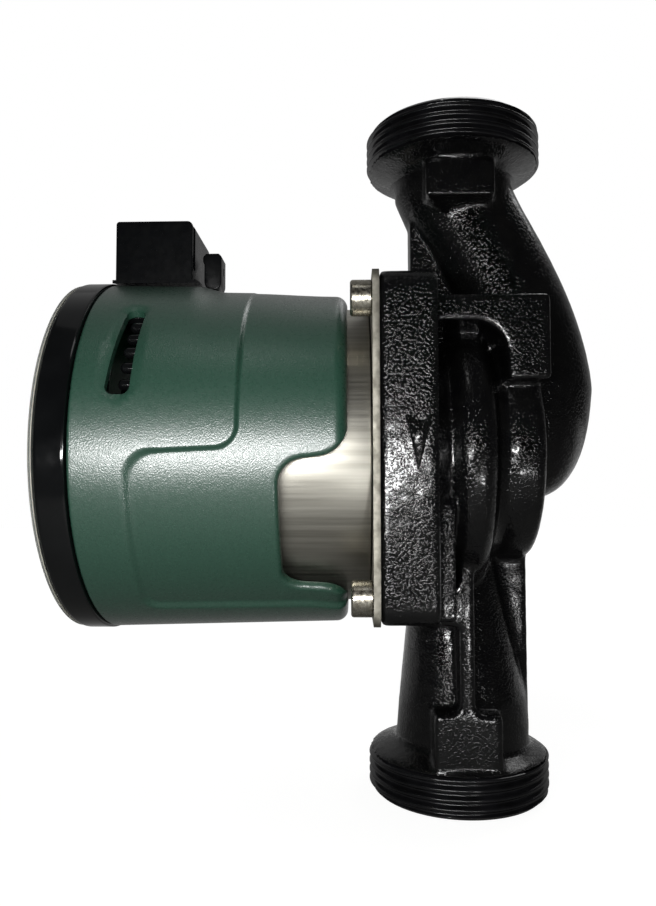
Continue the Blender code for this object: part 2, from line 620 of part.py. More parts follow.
COLLAR_X1 = CAN_FRONT_X + 7.0
COLLAR_X0 = CAN_FRONT_X + 3.0
ROLL = 2.2
outer_line = [HOUSING_FRONT_X, FALL_X0, FALL_X0 + 2.6, FALL_X0 + 5.4, FALL_X1, HOUSING_BACK_X - 3.2]
shell_profile = [(x, housing_r(x)) for x in outer_line]
shell_profile += [(HOUSING_BACK_X - 1.2, HOUSING_BACK_R - ROLL * 0.3), (HOUSING_BACK_X, HOUSING_BACK_R - ROLL)]
shell_profile += [(HOUSING_BACK_X, HOUSING_BACK_R - HOUSING_WALL - 0.6),
                  (COLLAR_X1 + 2.0, housing_r(COLLAR_X1) - HOUSING_WALL),
                  (COLLAR_X1, CAN_R + GAP), (COLLAR_X0, CAN_R + GAP),
                  (COLLAR_X0 - 2.0, HOUSING_FRONT_R - HOUSING_WALL),
                  (HOUSING_FRONT_X, HOUSING_FRONT_R - HOUSING_WALL)]
housing = turned("electronics_housing", shell_profile, GREEN, steps=TURN, reach=top_fall)

FAR_OUT = HOUSING_FRONT_R + 8.0
PANEL_MID_X = (HOUSING_FRONT_X + HOUSING_BACK_X) / 2 + 6.5
PANEL_LOW_X = HOUSING_FRONT_X + 13.0
BEHIND_X = HOUSING_BACK_X + 6.0
near_panel = [(BEHIND_X, -56.5, 0), (PANEL_LOW_X, -56.5, 4.0), (PANEL_LOW_X, -2.0, 6.0),
              (PANEL_MID_X, -0.5, 5.5)]
panel_outline = wrap_corners([(BEHIND_X, 90.0, 0)] + near_panel + [(PANEL_MID_X, 90.0, 0)])
panel_outline = panel_outline[1:-1]
panel_outline = panel_outline + far_side(panel_outline)[::-1]


def panel_r(x, angle):
    """Radius of the sunk panel, whose step is shallow over the top."""
    return housing_r(x, angle) - PANEL_STEP * (1 - 0.6 * crown(angle))


cut(housing, wrapped("cut_panel", panel_outline, panel_r, FAR_OUT))
NOTCH_X = HOUSING_BACK_X - 15.4
EDGE_X = HOUSING_BACK_X + 0.2
notch = [(EDGE_X, 34.0, 0), (EDGE_X, -2.4, 7.5), (NOTCH_X, -4.8, 6.0), (NOTCH_X, -47.6, 5.5),
         (EDGE_X, -50.4, 7.0), (EDGE_X, -76.0, 0), (BEHIND_X, -76.0, 0), (BEHIND_X, 34.0, 0)]
SPIGOT_X = HOUSING_FRONT_X + 3.0
VENT_ROOM = COLLAR_X0 - 2.0 - SPIGOT_X
SLOT_X0 = SPIGOT_X + VENT_ROOM * 0.434 - 2.3
SLOT_X1 = SLOT_X0 + 5.4
SLOT_LOW = 14.5
SLOT_HIGH = 47.0
slot = [(SLOT_X0 - 0.9, SLOT_LOW, 2.0), (SLOT_X0 + 1.0, SLOT_HIGH, 2.0), (SLOT_X1, SLOT_HIGH, 2.0),
        (SLOT_X1 - 0.6, SLOT_LOW, 2.0)]
for place, outline in (("notch", wrap_corners(notch)), ("slot", wrap_corners(slot))):
    cut(housing, wrapped(f"cut_{place}_near", outline, CAN_R - 3.0, FAR_OUT))
    cut(housing, wrapped(f"cut_{place}_far", far_side(outline), CAN_R - 3.0, FAR_OUT))

# Vent grilles behind the slots
GRILLE_R = HOUSING_FRONT_R - HOUSING_WALL - 0.6
GRILLE_T = 1.8
RIBS = 5
for place, flip in (("near", list), ("far", far_side)):
    frame = [(SLOT_X0 - 2.2, SLOT_LOW - 3.0), (SLOT_X1 + 1.4, SLOT_LOW - 3.0), (SLOT_X1 + 1.4, SLOT_HIGH + 3.0),
             (SLOT_X0 - 2.2, SLOT_HIGH + 3.0)]
    grille = wrapped(f"vent_grille_{place}", flip(frame), GRILLE_R - GRILLE_T, GRILLE_R, BLACK, 14.0)
    pitch = (SLOT_HIGH - SLOT_LOW) / (RIBS + 1)
    for k in range(RIBS + 1):
        low = SLOT_LOW + pitch * k + 0.9
        high = SLOT_LOW + pitch * (k + 1) - 0.9
        window = [(SLOT_X0, low), (SLOT_X1 - 0.3, low), (SLOT_X1 - 0.3, high), (SLOT_X0, high)]
        opening = wrapped(f"cut_window_{place}_{k}", flip(window), GRILLE_R - 6, GRILLE_R + 6, None, 180.0)
        cut(grille, opening)

# Front: panel cup, lens, mode button, light guide and display board
SPIGOT_R = HOUSING_FRONT_R - HOUSING_WALL - GAP
WALL_X = RING_FRONT_X + 2.0
HOLE_R = BUTTON_R + 0.4
panel_profile = [(RING_FRONT_X, HOLE_R), (RING_FRONT_X, RING_R - 1.2), (RING_FRONT_X + 1.2, RING_R),
                 (RING_BACK_X, RING_R), (RING_BACK_X, SPIGOT_R), (SPIGOT_X, SPIGOT_R),
                 (SPIGOT_X, SPIGOT_R - 1.8), (WALL_X, SPIGOT_R - 1.8), (WALL_X, HOLE_R)]
front_panel = turned("front_panel", panel_profile, BLACK_GLOSS)
lens_profile = [(LENS_FRONT_X + 0.7, HOLE_R), (LENS_FRONT_X, HOLE_R + 6), (LENS_FRONT_X, RING_R - 12),
                (LENS_FRONT_X + 0.7, RING_R - 1.6), (LENS_BACK_X, RING_R - 0.5), (LENS_BACK_X, HOLE_R)]
turned("front_lens", lens_profile, CLEAR)
BUTTON_LIP_R = BUTTON_R + 1.6
LIP_X0 = WALL_X + GAP
BOARD_FRONT_X = HOUSING_FRONT_X - 1.8
BUTTON_END_X = BOARD_FRONT_X - BUTTON_TRAVEL - GAP
button_profile = [(LENS_FRONT_X - 0.5, 0), (LENS_FRONT_X - 0.5, BUTTON_R - 0.7),
                  (LENS_FRONT_X + 0.2, BUTTON_R), (LIP_X0, BUTTON_R), (LIP_X0, BUTTON_LIP_R),
                  (LIP_X0 + 1.0, BUTTON_LIP_R), (LIP_X0 + 1.0, 1.6), (BUTTON_END_X, 1.6), (BUTTON_END_X, 0)]
turned("mode_button", button_profile, BLACK, steps=20)
GUIDE_R = 19.0
GUIDE_X0 = WALL_X + GAP
GUIDE_X1 = GUIDE_X0 + 1.4
arc = [(GUIDE_R - 2.6, 105 + 25 * k) for k in range(7)]
arc += [(GUIDE_R + 2.6, 255 - 25 * k) for k in range(7)]
guide_outline = [(r * math.sin(math.radians(a)), -r * math.cos(math.radians(a))) for r, a in arc]
light_guide = prism("light_guide", guide_outline, GUIDE_X0, GUIDE_X1, "X", CLEAR)
for k in range(5):
    angle = math.radians(180 - 57 + 28.5 * k)
    centre = (GUIDE_R * math.sin(angle), -GUIDE_R * math.cos(angle))
    pip = rod_profile(RING_FRONT_X + 0.2, GUIDE_X1 - 0.5, 1.5)
    join(light_guide, turned(f"guide_pip_{k}", pip, centre=centre, steps=9))
    pip_hole = rod_profile(RING_FRONT_X - 1, WALL_X + 1, 1.5 + GAP)
    cut(front_panel, turned(f"cut_pip_{k}", pip_hole, centre=centre, steps=9))
BOARD_T = 1.2
BOARD_R = SPIGOT_R - 1.8 - 0.5
turned("display_board", rod_profile(BOARD_FRONT_X, BOARD_FRONT_X + BOARD_T, BOARD_R), BOARD, steps=32)

# Drive electronics between the motor and the front
SPREADER_X1 = CAN_FRONT_X - GAP
SPREADER_X0 = SPREADER_X1 - 2.4
turned("heat_spreader", rod_profile(SPREADER_X0, SPREADER_X1, CAN_R - 2.0), ALUMINIUM, steps=32)
CONTROL_X1 = SPREADER_X0 - GAP
CONTROL_X0 = CONTROL_X1 - 1.6
turned("control_board", rod_profile(CONTROL_X0, CONTROL_X1, CAN_R - 0.4), BOARD, steps=32)
PART_X1 = CONTROL_X0 - GAP
PART_ROOM = PART_X1 - BOARD_FRONT_X - BOARD_T
CAPACITOR_LENGTH = PART_ROOM - 4.2
CHOKE_LENGTH = CAPACITOR_LENGTH * 0.64
MODULE_LENGTH = CAPACITOR_LENGTH * 0.45
capacitor_profile = rod_profile(PART_X1 - CAPACITOR_LENGTH, PART_X1, 6.3, 0.6)
turned("board_capacitor", capacitor_profile, BLACK, centre=(-14, 12), steps=20)
choke_profile = tube_profile(PART_X1 - CHOKE_LENGTH, PART_X1, 4.0, 10.0)
turned("board_choke", choke_profile, FERRITE, centre=(15, -14), steps=20)
box("power_module", (PART_X1 - MODULE_LENGTH, -24, -24), (PART_X1, 0, -8), CERAMIC)

# Power connector on top of the housing, its pins and its latch
SADDLE_R = RING_R + 0.2
PLUG_Y0 = -10.5
PLUG_Y1 = 14.0
PLUG_TOP = RING_R + 16.1
LIP_TOP = RING_R + 1.7
PLUG_LOW = SADDLE_R - 5.0
side_corners = [(PLUG_X0, PLUG_LOW, 0), (PLUG_X1, PLUG_LOW, 0), (PLUG_X1, PLUG_TOP, 1.6),
                (PLUG_X0, PLUG_TOP, 0.8)]
connector = prism("connector_socket", rounded(side_corners, 3), PLUG_Y0, PLUG_Y1, "Y", BLACK)
lip_corner = (PLUG_X1 + 0.8, PLUG_Y1 + 0.7, LIP_TOP)
lip = box("connector_lip", (PLUG_X0 - 0.7, PLUG_Y0 - 0.7, PLUG_LOW), lip_corner)
join(connector, lip)
cut(connector, turned("cut_saddle", rod_profile(PLUG_X0 - 4, PLUG_X1 + 4, SADDLE_R), steps=64))
MOUTH_Z0 = LIP_TOP + 1.4
MOUTH_Z1 = PLUG_TOP - 1.8
MOUTH_Y = PLUG_Y0 + 5.0
MOUTH_X0 = PLUG_X0 + 2.0
MOUTH_X1 = PLUG_X1 - 2.0
mouth_corners = [(MOUTH_X0, MOUTH_Z0, 1), (MOUTH_X1, MOUTH_Z0, 1), (MOUTH_X1, MOUTH_Z1, 3),
                 (MOUTH_X0, MOUTH_Z1, 3)]
cut(connector, prism("cut_mouth", rounded(mouth_corners, 3), MOUTH_Y, PLUG_Y1 + 4, "Y"))
PIN_R = 1.1
for k in range(3):
    centre = ((PLUG_X0 + PLUG_X1) / 2 + 5.2 * (k - 1), (MOUTH_Z0 + MOUTH_Z1) / 2)
    pin_hole = rod_profile(MOUTH_Y - 3.0, MOUTH_Y + 2, PIN_R + 0.2)
    cut(connector, turned(f"cut_pin_{k}", pin_hole, axis="Y", centre=centre, steps=12))
    pin = rod_profile(MOUTH_Y - 2.7, PLUG_Y1 - 4.0, PIN_R, 0.4)
    turned(f"connector_pin_{k + 1}", pin, BRASS, axis="Y", centre=centre, steps=12)

LATCH_X = PLUG_X1 + 4.3
LATCH_HALF = 3.6
LATCH_BASE_R = 2.4
LATCH_Z = housing_r(LATCH_X, 90.0) + GAP + LATCH_BASE_R
LATCH_TOP = LATCH_Z + 8.0
LATCH_X0 = LATCH_X - LATCH_BASE_R
LATCH_X1 = LATCH_X + LATCH_BASE_R
bends = [math.radians(a) for a in range(180, 361, 30)]
foot = [(LATCH_X + LATCH_BASE_R * math.cos(a), LATCH_Z + LATCH_BASE_R * math.sin(a)) for a in bends]
latch_outline = foot + [(LATCH_X1, LATCH_TOP - 0.8), (LATCH_X1 - 0.8, LATCH_TOP), (LATCH_X0 + 0.4, LATCH_TOP),
                        (LATCH_X0 - 0.4, LATCH_TOP - 1.0), (LATCH_X0 - 0.4, LATCH_TOP - 2.4),
                        (LATCH_X0, LATCH_TOP - 3.0)]
latch = prism("connector_latch", latch_outline, -LATCH_HALF, LATCH_HALF, "Y", BLACK, (LATCH_X, 0, LATCH_Z))
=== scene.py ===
"""Looks of an in-line circulator pump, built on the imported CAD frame."""
import logging
import math
from dataclasses import dataclass
from enum import Enum
from typing import Callable, Optional, Sequence

import bmesh
import bpy
import numpy as np
from mathutils import Matrix, Vector
from mathutils.geometry import delaunay_2d_cdt


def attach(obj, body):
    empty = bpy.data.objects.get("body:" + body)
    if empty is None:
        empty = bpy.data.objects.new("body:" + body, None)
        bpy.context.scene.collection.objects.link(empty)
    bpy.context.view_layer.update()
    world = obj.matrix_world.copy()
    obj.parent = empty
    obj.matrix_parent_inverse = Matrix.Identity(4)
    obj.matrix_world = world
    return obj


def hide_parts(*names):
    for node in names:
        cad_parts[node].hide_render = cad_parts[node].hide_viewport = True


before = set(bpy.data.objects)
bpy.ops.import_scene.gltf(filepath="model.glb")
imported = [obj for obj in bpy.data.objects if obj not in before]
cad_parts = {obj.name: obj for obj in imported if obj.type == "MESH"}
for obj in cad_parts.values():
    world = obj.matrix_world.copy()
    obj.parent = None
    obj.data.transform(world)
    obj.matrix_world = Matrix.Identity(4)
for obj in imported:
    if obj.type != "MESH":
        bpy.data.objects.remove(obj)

LOG = logging.getLogger("circulator")
MM = 0.001
Pair = tuple[float, float]
Triple = tuple[float, float, float]


class Body(str, Enum):
    """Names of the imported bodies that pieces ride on."""

    PUMP = "pump"
    ROTOR = "rotor"
    BUTTON = "button"
    LATCH = "latch"


class Slot(str, Enum):
    """Material slots of the record."""

    IRON = "painted_cast_iron"
    STEEL = "brushed_steel"
    ZINC = "zinc_steel"
    GREEN = "green_plastic"
    GLOSS = "gloss_black_plastic"
    BLACK = "black_plastic"
    CLEAR = "clear_plastic"
    COPPER = "copper"


class Side(str, Enum):
    """The side of the pump that faces the camera and the one behind."""

    NEAR = "near"
    FAR = "far"


class Axis(str, Enum):
    """The axis that a profile turns about or an outline is drawn along."""

    X = "X"
    Y = "Y"
    Z = "Z"


class Join(str, Enum):
    """What a Boolean does with the other shapes."""

    UNION = "UNION"
    DIFFERENCE = "DIFFERENCE"
    INTERSECT = "INTERSECT"


# Finishes


def linear(code: str) -> tuple[float, float, float, float]:
    """Turns an sRGB hex colour into linear RGBA.

    Args:
        code: six hex digits with a leading hash.

    Returns:
        Linear red, green and blue, and an alpha of one.
    """
    parts = [int(code[i:i + 2], 16) / 255 for i in (1, 3, 5)]
    red, green, blue = (c / 12.92 if c <= 0.04045 else ((c + 0.055) / 1.055) ** 2.4 for c in parts)
    return red, green, blue, 1.0


@dataclass(frozen=True)
class Grain:
    """One layer of relief: its size, depth and stretch along X, and where its banks start and end.

    A coarser grain grows by a factor between two heights, given in millimetres as (from, to, factor).
    """

    size_mm: float
    depth_mm: float
    stretch: float = 1.0
    cells: bool = False
    detail: float = 2.0
    bank: Optional[Pair] = None
    coarser: Optional[Triple] = None


@dataclass(frozen=True)
class Finish:
    """A procedural material: two colours that mottle, a range of roughness and layers of relief.

    The bloom is the weight and roughness of a second, softer gloss over the first.
    """

    name: str
    colour: str
    second: str
    mottle_mm: float
    rough: Pair
    rough_mm: float
    grains: tuple[Grain, ...] = ()
    metallic: float = 0.0
    specular: float = 0.5
    transmission: float = 0.0
    ior: float = 1.5
    stretch: float = 1.0
    bloom: Pair = (0.0, 0.5)


# Gloss black paint over a sand casting: it glints on each grain of sand, more so towards the outlet, and its
# long waves bend the light
CAST_IRON = Finish("Painted cast iron", "#060607", "#0b0b0b", 4.0, (0.08, 0.14), 1.2,
                   (Grain(0.64, 0.042, bank=(0.48, 0.66)), Grain(0.45, 0.02, coarser=(-40.0, -45.0, 1.7)),
                    Grain(2.6, 0.022)))
# The same paint over cut threads: a smoother, softer gloss
CUT_IRON = Finish("Painted cut thread", "#0a0a0b", "#131315", 5.0, (0.14, 0.24), 3.0, (Grain(1.2, 0.015),))
# Stainless tube, drawn and brushed along its axis: pale streaks, coarser than the real ones so that they show
DRAWN_STEEL = Finish("Drawn steel", "#bdbab0", "#a5a298", 1.2, (0.36, 0.46), 0.8,
                     (Grain(0.22, 0.008, 60.0), Grain(3.0, 0.006, 12.0)), metallic=1.0, stretch=40.0)
# Rolled sheet for the clamp plate: a dull, even grey
SHEET_STEEL = Finish("Sheet steel", "#99968c", "#757269", 2.0, (0.5, 0.66), 1.5, (Grain(0.4, 0.02),),
                     metallic=1.0)
# Zinc plate on cap screws: bright, with a warm tint
ZINC_PLATE = Finish("Zinc plate", "#c9c5b8", "#a19b8c", 1.0, (0.18, 0.36), 0.7, (Grain(0.3, 0.008),),
                    metallic=1.0)
# Dark green moulding with a spark-eroded grain: a broad sheen that sparkles, on a grain coarse enough to show
GREEN_MOULDING = Finish("Green moulding", "#1d4032", "#234738", 0.5, (0.25, 0.34), 0.9,
                        (Grain(0.32, 0.042, cells=True), Grain(0.2, 0.012)), specular=0.9, bloom=(0.9, 0.45))
# Polished black moulding of the front ring: deep black with sharp reflections
GLOSS_MOULDING = Finish("Gloss black moulding", "#08090a", "#0c0d0e", 8.0, (0.06, 0.14), 6.0,
                        (Grain(9.0, 0.01),))
# Satin black moulding of the connector: soft grey highlights
SATIN_MOULDING = Finish("Satin black moulding", "#050608", "#08090a", 2.0, (0.26, 0.32), 1.6,
                        (Grain(0.4, 0.004),), specular=0.35)
# Clear acrylic of the lens: the black wall shows through it
CLEAR_MOULDING = Finish("Clear moulding", "#e9eeec", "#f2f5f4", 10.0, (0.05, 0.1), 6.0, (),
                        transmission=0.85, ior=1.49)
# Pale rings on the lens rim: a painted reflection of the room's light along the rim's edges
LENS_RIM_REFLECTION = Finish("Lens rim painted reflection", "#b9b8ab", "#a3a295", 2.0, (0.35, 0.5), 1.0, (Grain(0.4, 0.01),))
# Enamelled winding wire: reddish brown with a lacquered gloss
ENAMEL_COPPER = Finish("Enamelled copper", "#a5592b", "#7c3d1c", 1.5, (0.25, 0.4), 1.0, (Grain(0.5, 0.01),),
                       metallic=0.9)
# Stacked electrical sheet: dark grey with lines across the axis
LAMINATION = Finish("Electrical sheet", "#6d6c6a", "#4a4948", 0.5, (0.4, 0.6), 0.5, (Grain(0.5, 0.03, 0.1),),
                    metallic=1.0)
# Pressed stainless of the wet parts: smooth and bright
PRESSED_STEEL = Finish("Pressed stainless", "#b9b8b4", "#9d9c98", 3.0, (0.22, 0.36), 2.0, (Grain(1.5, 0.01),),
                       metallic=1.0)
# Ground ceramic of the shaft and washer: ivory with a low sheen
GROUND_CERAMIC = Finish("Ground ceramic", "#dcd8cc", "#cbc6b8", 2.0, (0.2, 0.34), 1.0, (Grain(0.4, 0.004),))
# Carbon graphite of the bushes: soft dark grey
CARBON_GRAPHITE = Finish("Carbon graphite", "#2d2d2f", "#3a3a3c", 0.8, (0.4, 0.55), 0.6, (Grain(0.3, 0.01),))
# Moulded rubber of the seal: matt black
SEAL_RUBBER = Finish("Seal rubber", "#161616", "#1e1e1d", 2.0, (0.55, 0.72), 1.0, (Grain(0.5, 0.012),))
# Solder mask over a circuit board: bottle green over slight bumps
SOLDER_MASK = Finish("Solder mask", "#134a2c", "#0f3a22", 1.6, (0.3, 0.42), 1.0,
                     (Grain(0.8, 0.02, cells=True),))
# Plain sheet aluminium: pale and even
PLAIN_ALUMINIUM = Finish("Sheet aluminium", "#c9cacc", "#b1b2b4", 3.0, (0.3, 0.45), 2.0, (Grain(0.6, 0.008),),
                         metallic=1.0)
# Glass-filled moulding of the impeller: beige with a dry surface
GLASS_FILLED = Finish("Glass filled moulding", "#8f8b80", "#7d796e", 0.6, (0.45, 0.62), 0.6,
                      (Grain(0.3, 0.012),))
# Pressed ferrite of the choke: dark grey and chalky
PRESSED_FERRITE = Finish("Pressed ferrite", "#3a3a3c", "#2f2f31", 0.7, (0.5, 0.65), 0.5, (Grain(0.3, 0.015),))
# Tinned pins: silvery with a yellow tint
TINNED_BRASS = Finish("Tinned brass", "#cfcab8", "#b3ad98", 1.0, (0.2, 0.32), 0.8, (Grain(0.3, 0.005),),
                      metallic=1.0)
# Pale studio floor: matt and without a pattern that shows
FLOOR = Finish("Pale floor", "#757573", "#70706e", 60.0, (0.7, 0.8), 40.0, ())


def add_node(tree: bpy.types.NodeTree, kind: str, links: Optional[dict] = None, values: Optional[dict] = None,
             **settings: object) -> bpy.types.Node:
    """Adds one node with its settings and links.

    Args:
        tree: a shader or geometry node tree.
        kind: the node's type.
        links: the output that feeds each input, by the input's name or number.
        values: constants of inputs, by name or number.
        **settings: the node's own properties.

    Returns:
        The new node.
    """
    made = tree.nodes.new(kind)
    for name, value in settings.items():
        setattr(made, name, value)
    for key, value in (values or {}).items():
        made.inputs[key].default_value = value
    for key, source in (links or {}).items():
        tree.links.new(source, made.inputs[key])
    return made


def span(start: float, end: float, low: float, high: float) -> dict[str, float]:
    """Values that map one range of numbers onto another."""
    return {"From Min": start, "From Max": end, "To Min": low, "To Max": high}


class MaterialKit:
    """Makes each finish's node tree once and hands it out."""

    MOTTLE = (0.35, 0.65)
    SHEEN = (0.3, 0.7)
    CELL_SMOOTHNESS = 0.7

    def __init__(self) -> None:
        self._made: dict[str, bpy.types.Material] = {}

    def get(self, finish: Finish) -> bpy.types.Material:
        """Returns the material of a finish.

        Args:
            finish: what the surface is.

        Returns:
            The Blender material.
        """
        if finish.name not in self._made:
            self._made[finish.name] = self._build(finish)
        return self._made[finish.name]

    def _build(self, finish: Finish) -> bpy.types.Material:
        """Builds a finish's node tree.

        Args:
            finish: what the surface is.

        Returns:
            The new material.
        """
        material = bpy.data.materials.new(finish.name)
        material.use_nodes = True
        tree = material.node_tree
        shader = tree.nodes["Principled BSDF"]
        weight, softness = finish.bloom
        for name, value in (("Metallic", finish.metallic), ("Specular IOR Level", finish.specular),
                            ("Transmission Weight", finish.transmission), ("IOR", finish.ior),
                            ("Coat Weight", weight), ("Coat Roughness", softness)):
            shader.inputs[name].default_value = value
        place = add_node(tree, "ShaderNodeTexCoord").outputs["Object"]
        mottle = self._pattern(tree, place, Grain(finish.mottle_mm, 0.0, finish.stretch, detail=3.0))
        ramp = add_node(tree, "ShaderNodeValToRGB", {"Fac": mottle})
        for stop, at, colour in zip(ramp.color_ramp.elements, self.MOTTLE, (finish.colour, finish.second)):
            stop.position, stop.color = at, linear(colour)
        tree.links.new(ramp.outputs["Color"], shader.inputs["Base Color"])
        sheen = self._pattern(tree, place, Grain(finish.rough_mm, 0.0, finish.stretch, detail=4.0))
        gloss = add_node(tree, "ShaderNodeMapRange", {"Value": sheen}, span(*self.SHEEN, *finish.rough))
        tree.links.new(gloss.outputs["Result"], shader.inputs["Roughness"])
        normal = None
        for grain in finish.grains:
            links = {"Height": self._pattern(tree, place, grain)}
            if normal:
                links["Normal"] = normal
            depth = grain.depth_mm * MM
            if grain.coarser:
                start, end, factor = grain.coarser
                height = add_node(tree, "ShaderNodeSeparateXYZ", {0: place}).outputs["Z"]
                growth = span(start * MM, end * MM, depth, depth * factor)
                grown = add_node(tree, "ShaderNodeMapRange", {"Value": height}, growth)
                links["Distance"] = grown.outputs["Result"]
            relief = add_node(tree, "ShaderNodeBump", links, {"Strength": 1.0, "Distance": depth})
            normal = relief.outputs["Normal"]
        if normal:
            tree.links.new(normal, shader.inputs["Normal"])
        return material

    def _pattern(self, tree: bpy.types.NodeTree, place: bpy.types.NodeSocket,
                 grain: Grain) -> bpy.types.NodeSocket:
        """Adds one pattern at its real size.

        Args:
            tree: the material's tree.
            place: coordinates in metres.
            grain: the pattern's size, stretch along X and kind.

        Returns:
            The pattern's value, from about 0 to 1.
        """
        if grain.stretch != 1.0:
            squeeze = {"Scale": (1.0 / grain.stretch, 1.0, 1.0)}
            place = add_node(tree, "ShaderNodeMapping", {"Vector": place}, squeeze).outputs["Vector"]
        scale = 1.0 / (grain.size_mm * MM)
        if grain.cells:
            sizes = {"Scale": scale, "Smoothness": self.CELL_SMOOTHNESS}
            cells = add_node(tree, "ShaderNodeTexVoronoi", {"Vector": place}, sizes, feature="SMOOTH_F1")
            height = cells.outputs["Distance"]
        else:
            sizes = {"Scale": scale, "Detail": grain.detail}
            height = add_node(tree, "ShaderNodeTexNoise", {"Vector": place}, sizes).outputs["Fac"]
        if grain.bank:
            height = add_node(tree, "ShaderNodeMapRange", {"Value": height}, span(*grain.bank, 0.0, 1.0),
                              interpolation_type="SMOOTHSTEP").outputs["Result"]
        return height


KIT = MaterialKit()


# Shape tools


def rounded(points: Sequence[Triple], steps: int = 8) -> list[Pair]:
    """Rounds the corners of a closed outline.

    Args:
        points: corners as (u, v, radius).
        steps: segments in each corner's arc.

    Returns:
        The outline's points.
    """
    outline: list[Pair] = []
    count = len(points)
    for i, (u, v, radius) in enumerate(points):
        here = Vector((u, v))
        if not radius:
            outline.append((u, v))
            continue
        before = (Vector(points[i - 1][:2]) - here).normalized()
        after = (Vector(points[(i + 1) % count][:2]) - here).normalized()
        half = before.angle(after) / 2
        centre = here + (before + after).normalized() * radius / math.sin(half)
        start = here + before * radius / math.tan(half) - centre
        sweep = start.angle_signed(here + after * radius / math.tan(half) - centre)
        for k in range(steps + 1):
            spot = centre + Matrix.Rotation(-sweep * k / steps, 2) @ start
            outline.append((spot.x, spot.y))
    return outline


def axis_points(axis: Axis, along: np.ndarray, u: np.ndarray, v: np.ndarray) -> np.ndarray:
    """Stacks coordinates so that `along` runs on the named axis."""
    order = {Axis.X: (along, u, v), Axis.Y: (u, along, v), Axis.Z: (u, v, along)}[axis]
    return np.stack(np.broadcast_arrays(*order), axis=-1)


def new_object(name: str, points: np.ndarray, faces: Sequence[Sequence[int]],
               smooth: float = 35.0) -> bpy.types.Object:
    """Makes a mesh object from points in millimetres.

    Args:
        name: the object's name.
        points: an array of shape (n, 3).
        faces: lists of point numbers.
        smooth: edges sharper than this many degrees stay sharp.

    Returns:
        The new object, at the origin.
    """
    mesh = bpy.data.meshes.new(name)
    mesh.from_pydata((np.asarray(points).reshape(-1, 3) * MM).tolist(), [], [list(f) for f in faces])
    made = bpy.data.objects.new(name, mesh)
    bpy.context.scene.collection.objects.link(made)
    fix_normals(mesh)
    soften(made, smooth)
    return made


def fix_normals(mesh: bpy.types.Mesh) -> None:
    """Turns every face of a closed mesh outwards.

    Args:
        mesh: the mesh, which is changed.
    """
    bm = bmesh.new()
    bm.from_mesh(mesh)
    bmesh.ops.recalc_face_normals(bm, faces=bm.faces)
    if bm.calc_volume(signed=True) < 0:
        bmesh.ops.reverse_faces(bm, faces=bm.faces)
    bm.to_mesh(mesh)
    bm.free()


def soften(obj: bpy.types.Object, angle: float) -> None:
    """Shades a mesh smooth apart from its sharp edges."""
    obj.data.shade_smooth()
    obj.data.set_sharp_from_angle(angle=math.radians(angle))


def ring_faces(rings: int, steps: int, closed: bool) -> list[tuple[int, ...]]:
    """Joins rings of points with quads.

    Args:
        rings: how many rings there are.
        steps: points in each ring.
        closed: whether the last ring joins the first.

    Returns:
        The faces as point numbers.
    """
    faces = []
    for r in range(rings if closed else rings - 1):
        for i in range(steps):
            j = (i + 1) % steps
            low, high = r * steps, (r + 1) % rings * steps
            faces.append((low + i, low + j, high + j, high + i))
    return faces


def lathe(name: str, profile: Sequence[Pair], axis: Axis = Axis.X, centre: Pair = (0, 0), steps: int = 128,
          reach: Optional[Callable[[float, float, np.ndarray], np.ndarray]] = None) -> bpy.types.Object:
    """Turns a profile about an axis.

    Args:
        name: the object's name.
        profile: (along, radius) points; one that starts and ends on the axis gives a solid, any other a ring.
        axis: what it turns about.
        centre: where the axis crosses its plane.
        steps: points round a turn.
        reach: what to add to the radius at each angle.

    Returns:
        The closed mesh.
    """
    angle = np.arange(steps) * 2 * math.pi / steps
    solid = profile[0][1] == 0
    inner = profile[1:-1] if solid else profile
    rows = []
    for along, radius in inner:
        far = radius + (reach(along, radius, angle) if reach else 0.0)
        round_u, round_v = centre[0] - far * np.cos(angle), centre[1] + far * np.sin(angle)
        rows.append(axis_points(axis, np.float64(along), round_u, round_v))
    points = np.concatenate(rows)
    faces: list[tuple[int, ...]] = ring_faces(len(inner), steps, not solid)
    if solid:
        middle = (np.float64(centre[0]), np.float64(centre[1]))
        ends = [axis_points(axis, np.float64(profile[k][0]), *middle) for k in (0, -1)]
        base = len(points)
        points = np.concatenate([points, np.array(ends)])
        last = (len(inner) - 1) * steps
        for i in range(steps):
            j = (i + 1) % steps
            faces.append((base, j, i))
            faces.append((base + 1, last + i, last + j))
    return new_object(name, points, faces)


def prism(name: str, outline: Sequence[Pair], low: float, high: float,
          axis: Axis = Axis.X) -> bpy.types.Object:
    """Draws an outline out along an axis, with flat ends.

    Args:
        name: the object's name.
        outline: points in the plane across the axis, in turn.
        low: where one end is.
        high: where the other end is.
        axis: what it is drawn along.

    Returns:
        The closed mesh.
    """
    flat = np.array(outline)
    count = len(flat)
    points = np.concatenate([axis_points(axis, np.float64(at), flat[:, 0], flat[:, 1]) for at in (low, high)])
    faces: list[tuple[int, ...]] = [tuple(range(count)), tuple(range(count, 2 * count))]
    faces += ring_faces(2, count, False)
    return new_object(name, points, faces)


def block(name: str, low: Sequence[float], high: Sequence[float]) -> bpy.types.Object:
    """A plain box, for joining or cutting."""
    outline = [(low[1], low[2]), (high[1], low[2]), (high[1], high[2]), (low[1], high[2])]
    return prism(name, outline, low[0], high[0])


def taper(name: str, one: Sequence[float], other: Sequence[float]) -> bpy.types.Object:
    """Joins two level rectangles, each (x low, x high, half width in y, z), into a wedge."""
    points = [(x, y, z) for low, high, wide, z in (one, other)
              for x, y in ((low, -wide), (high, -wide), (high, wide), (low, wide))]
    return new_object(name, np.array(points), [(0, 1, 2, 3), (4, 5, 6, 7)] + ring_faces(2, 4, False))


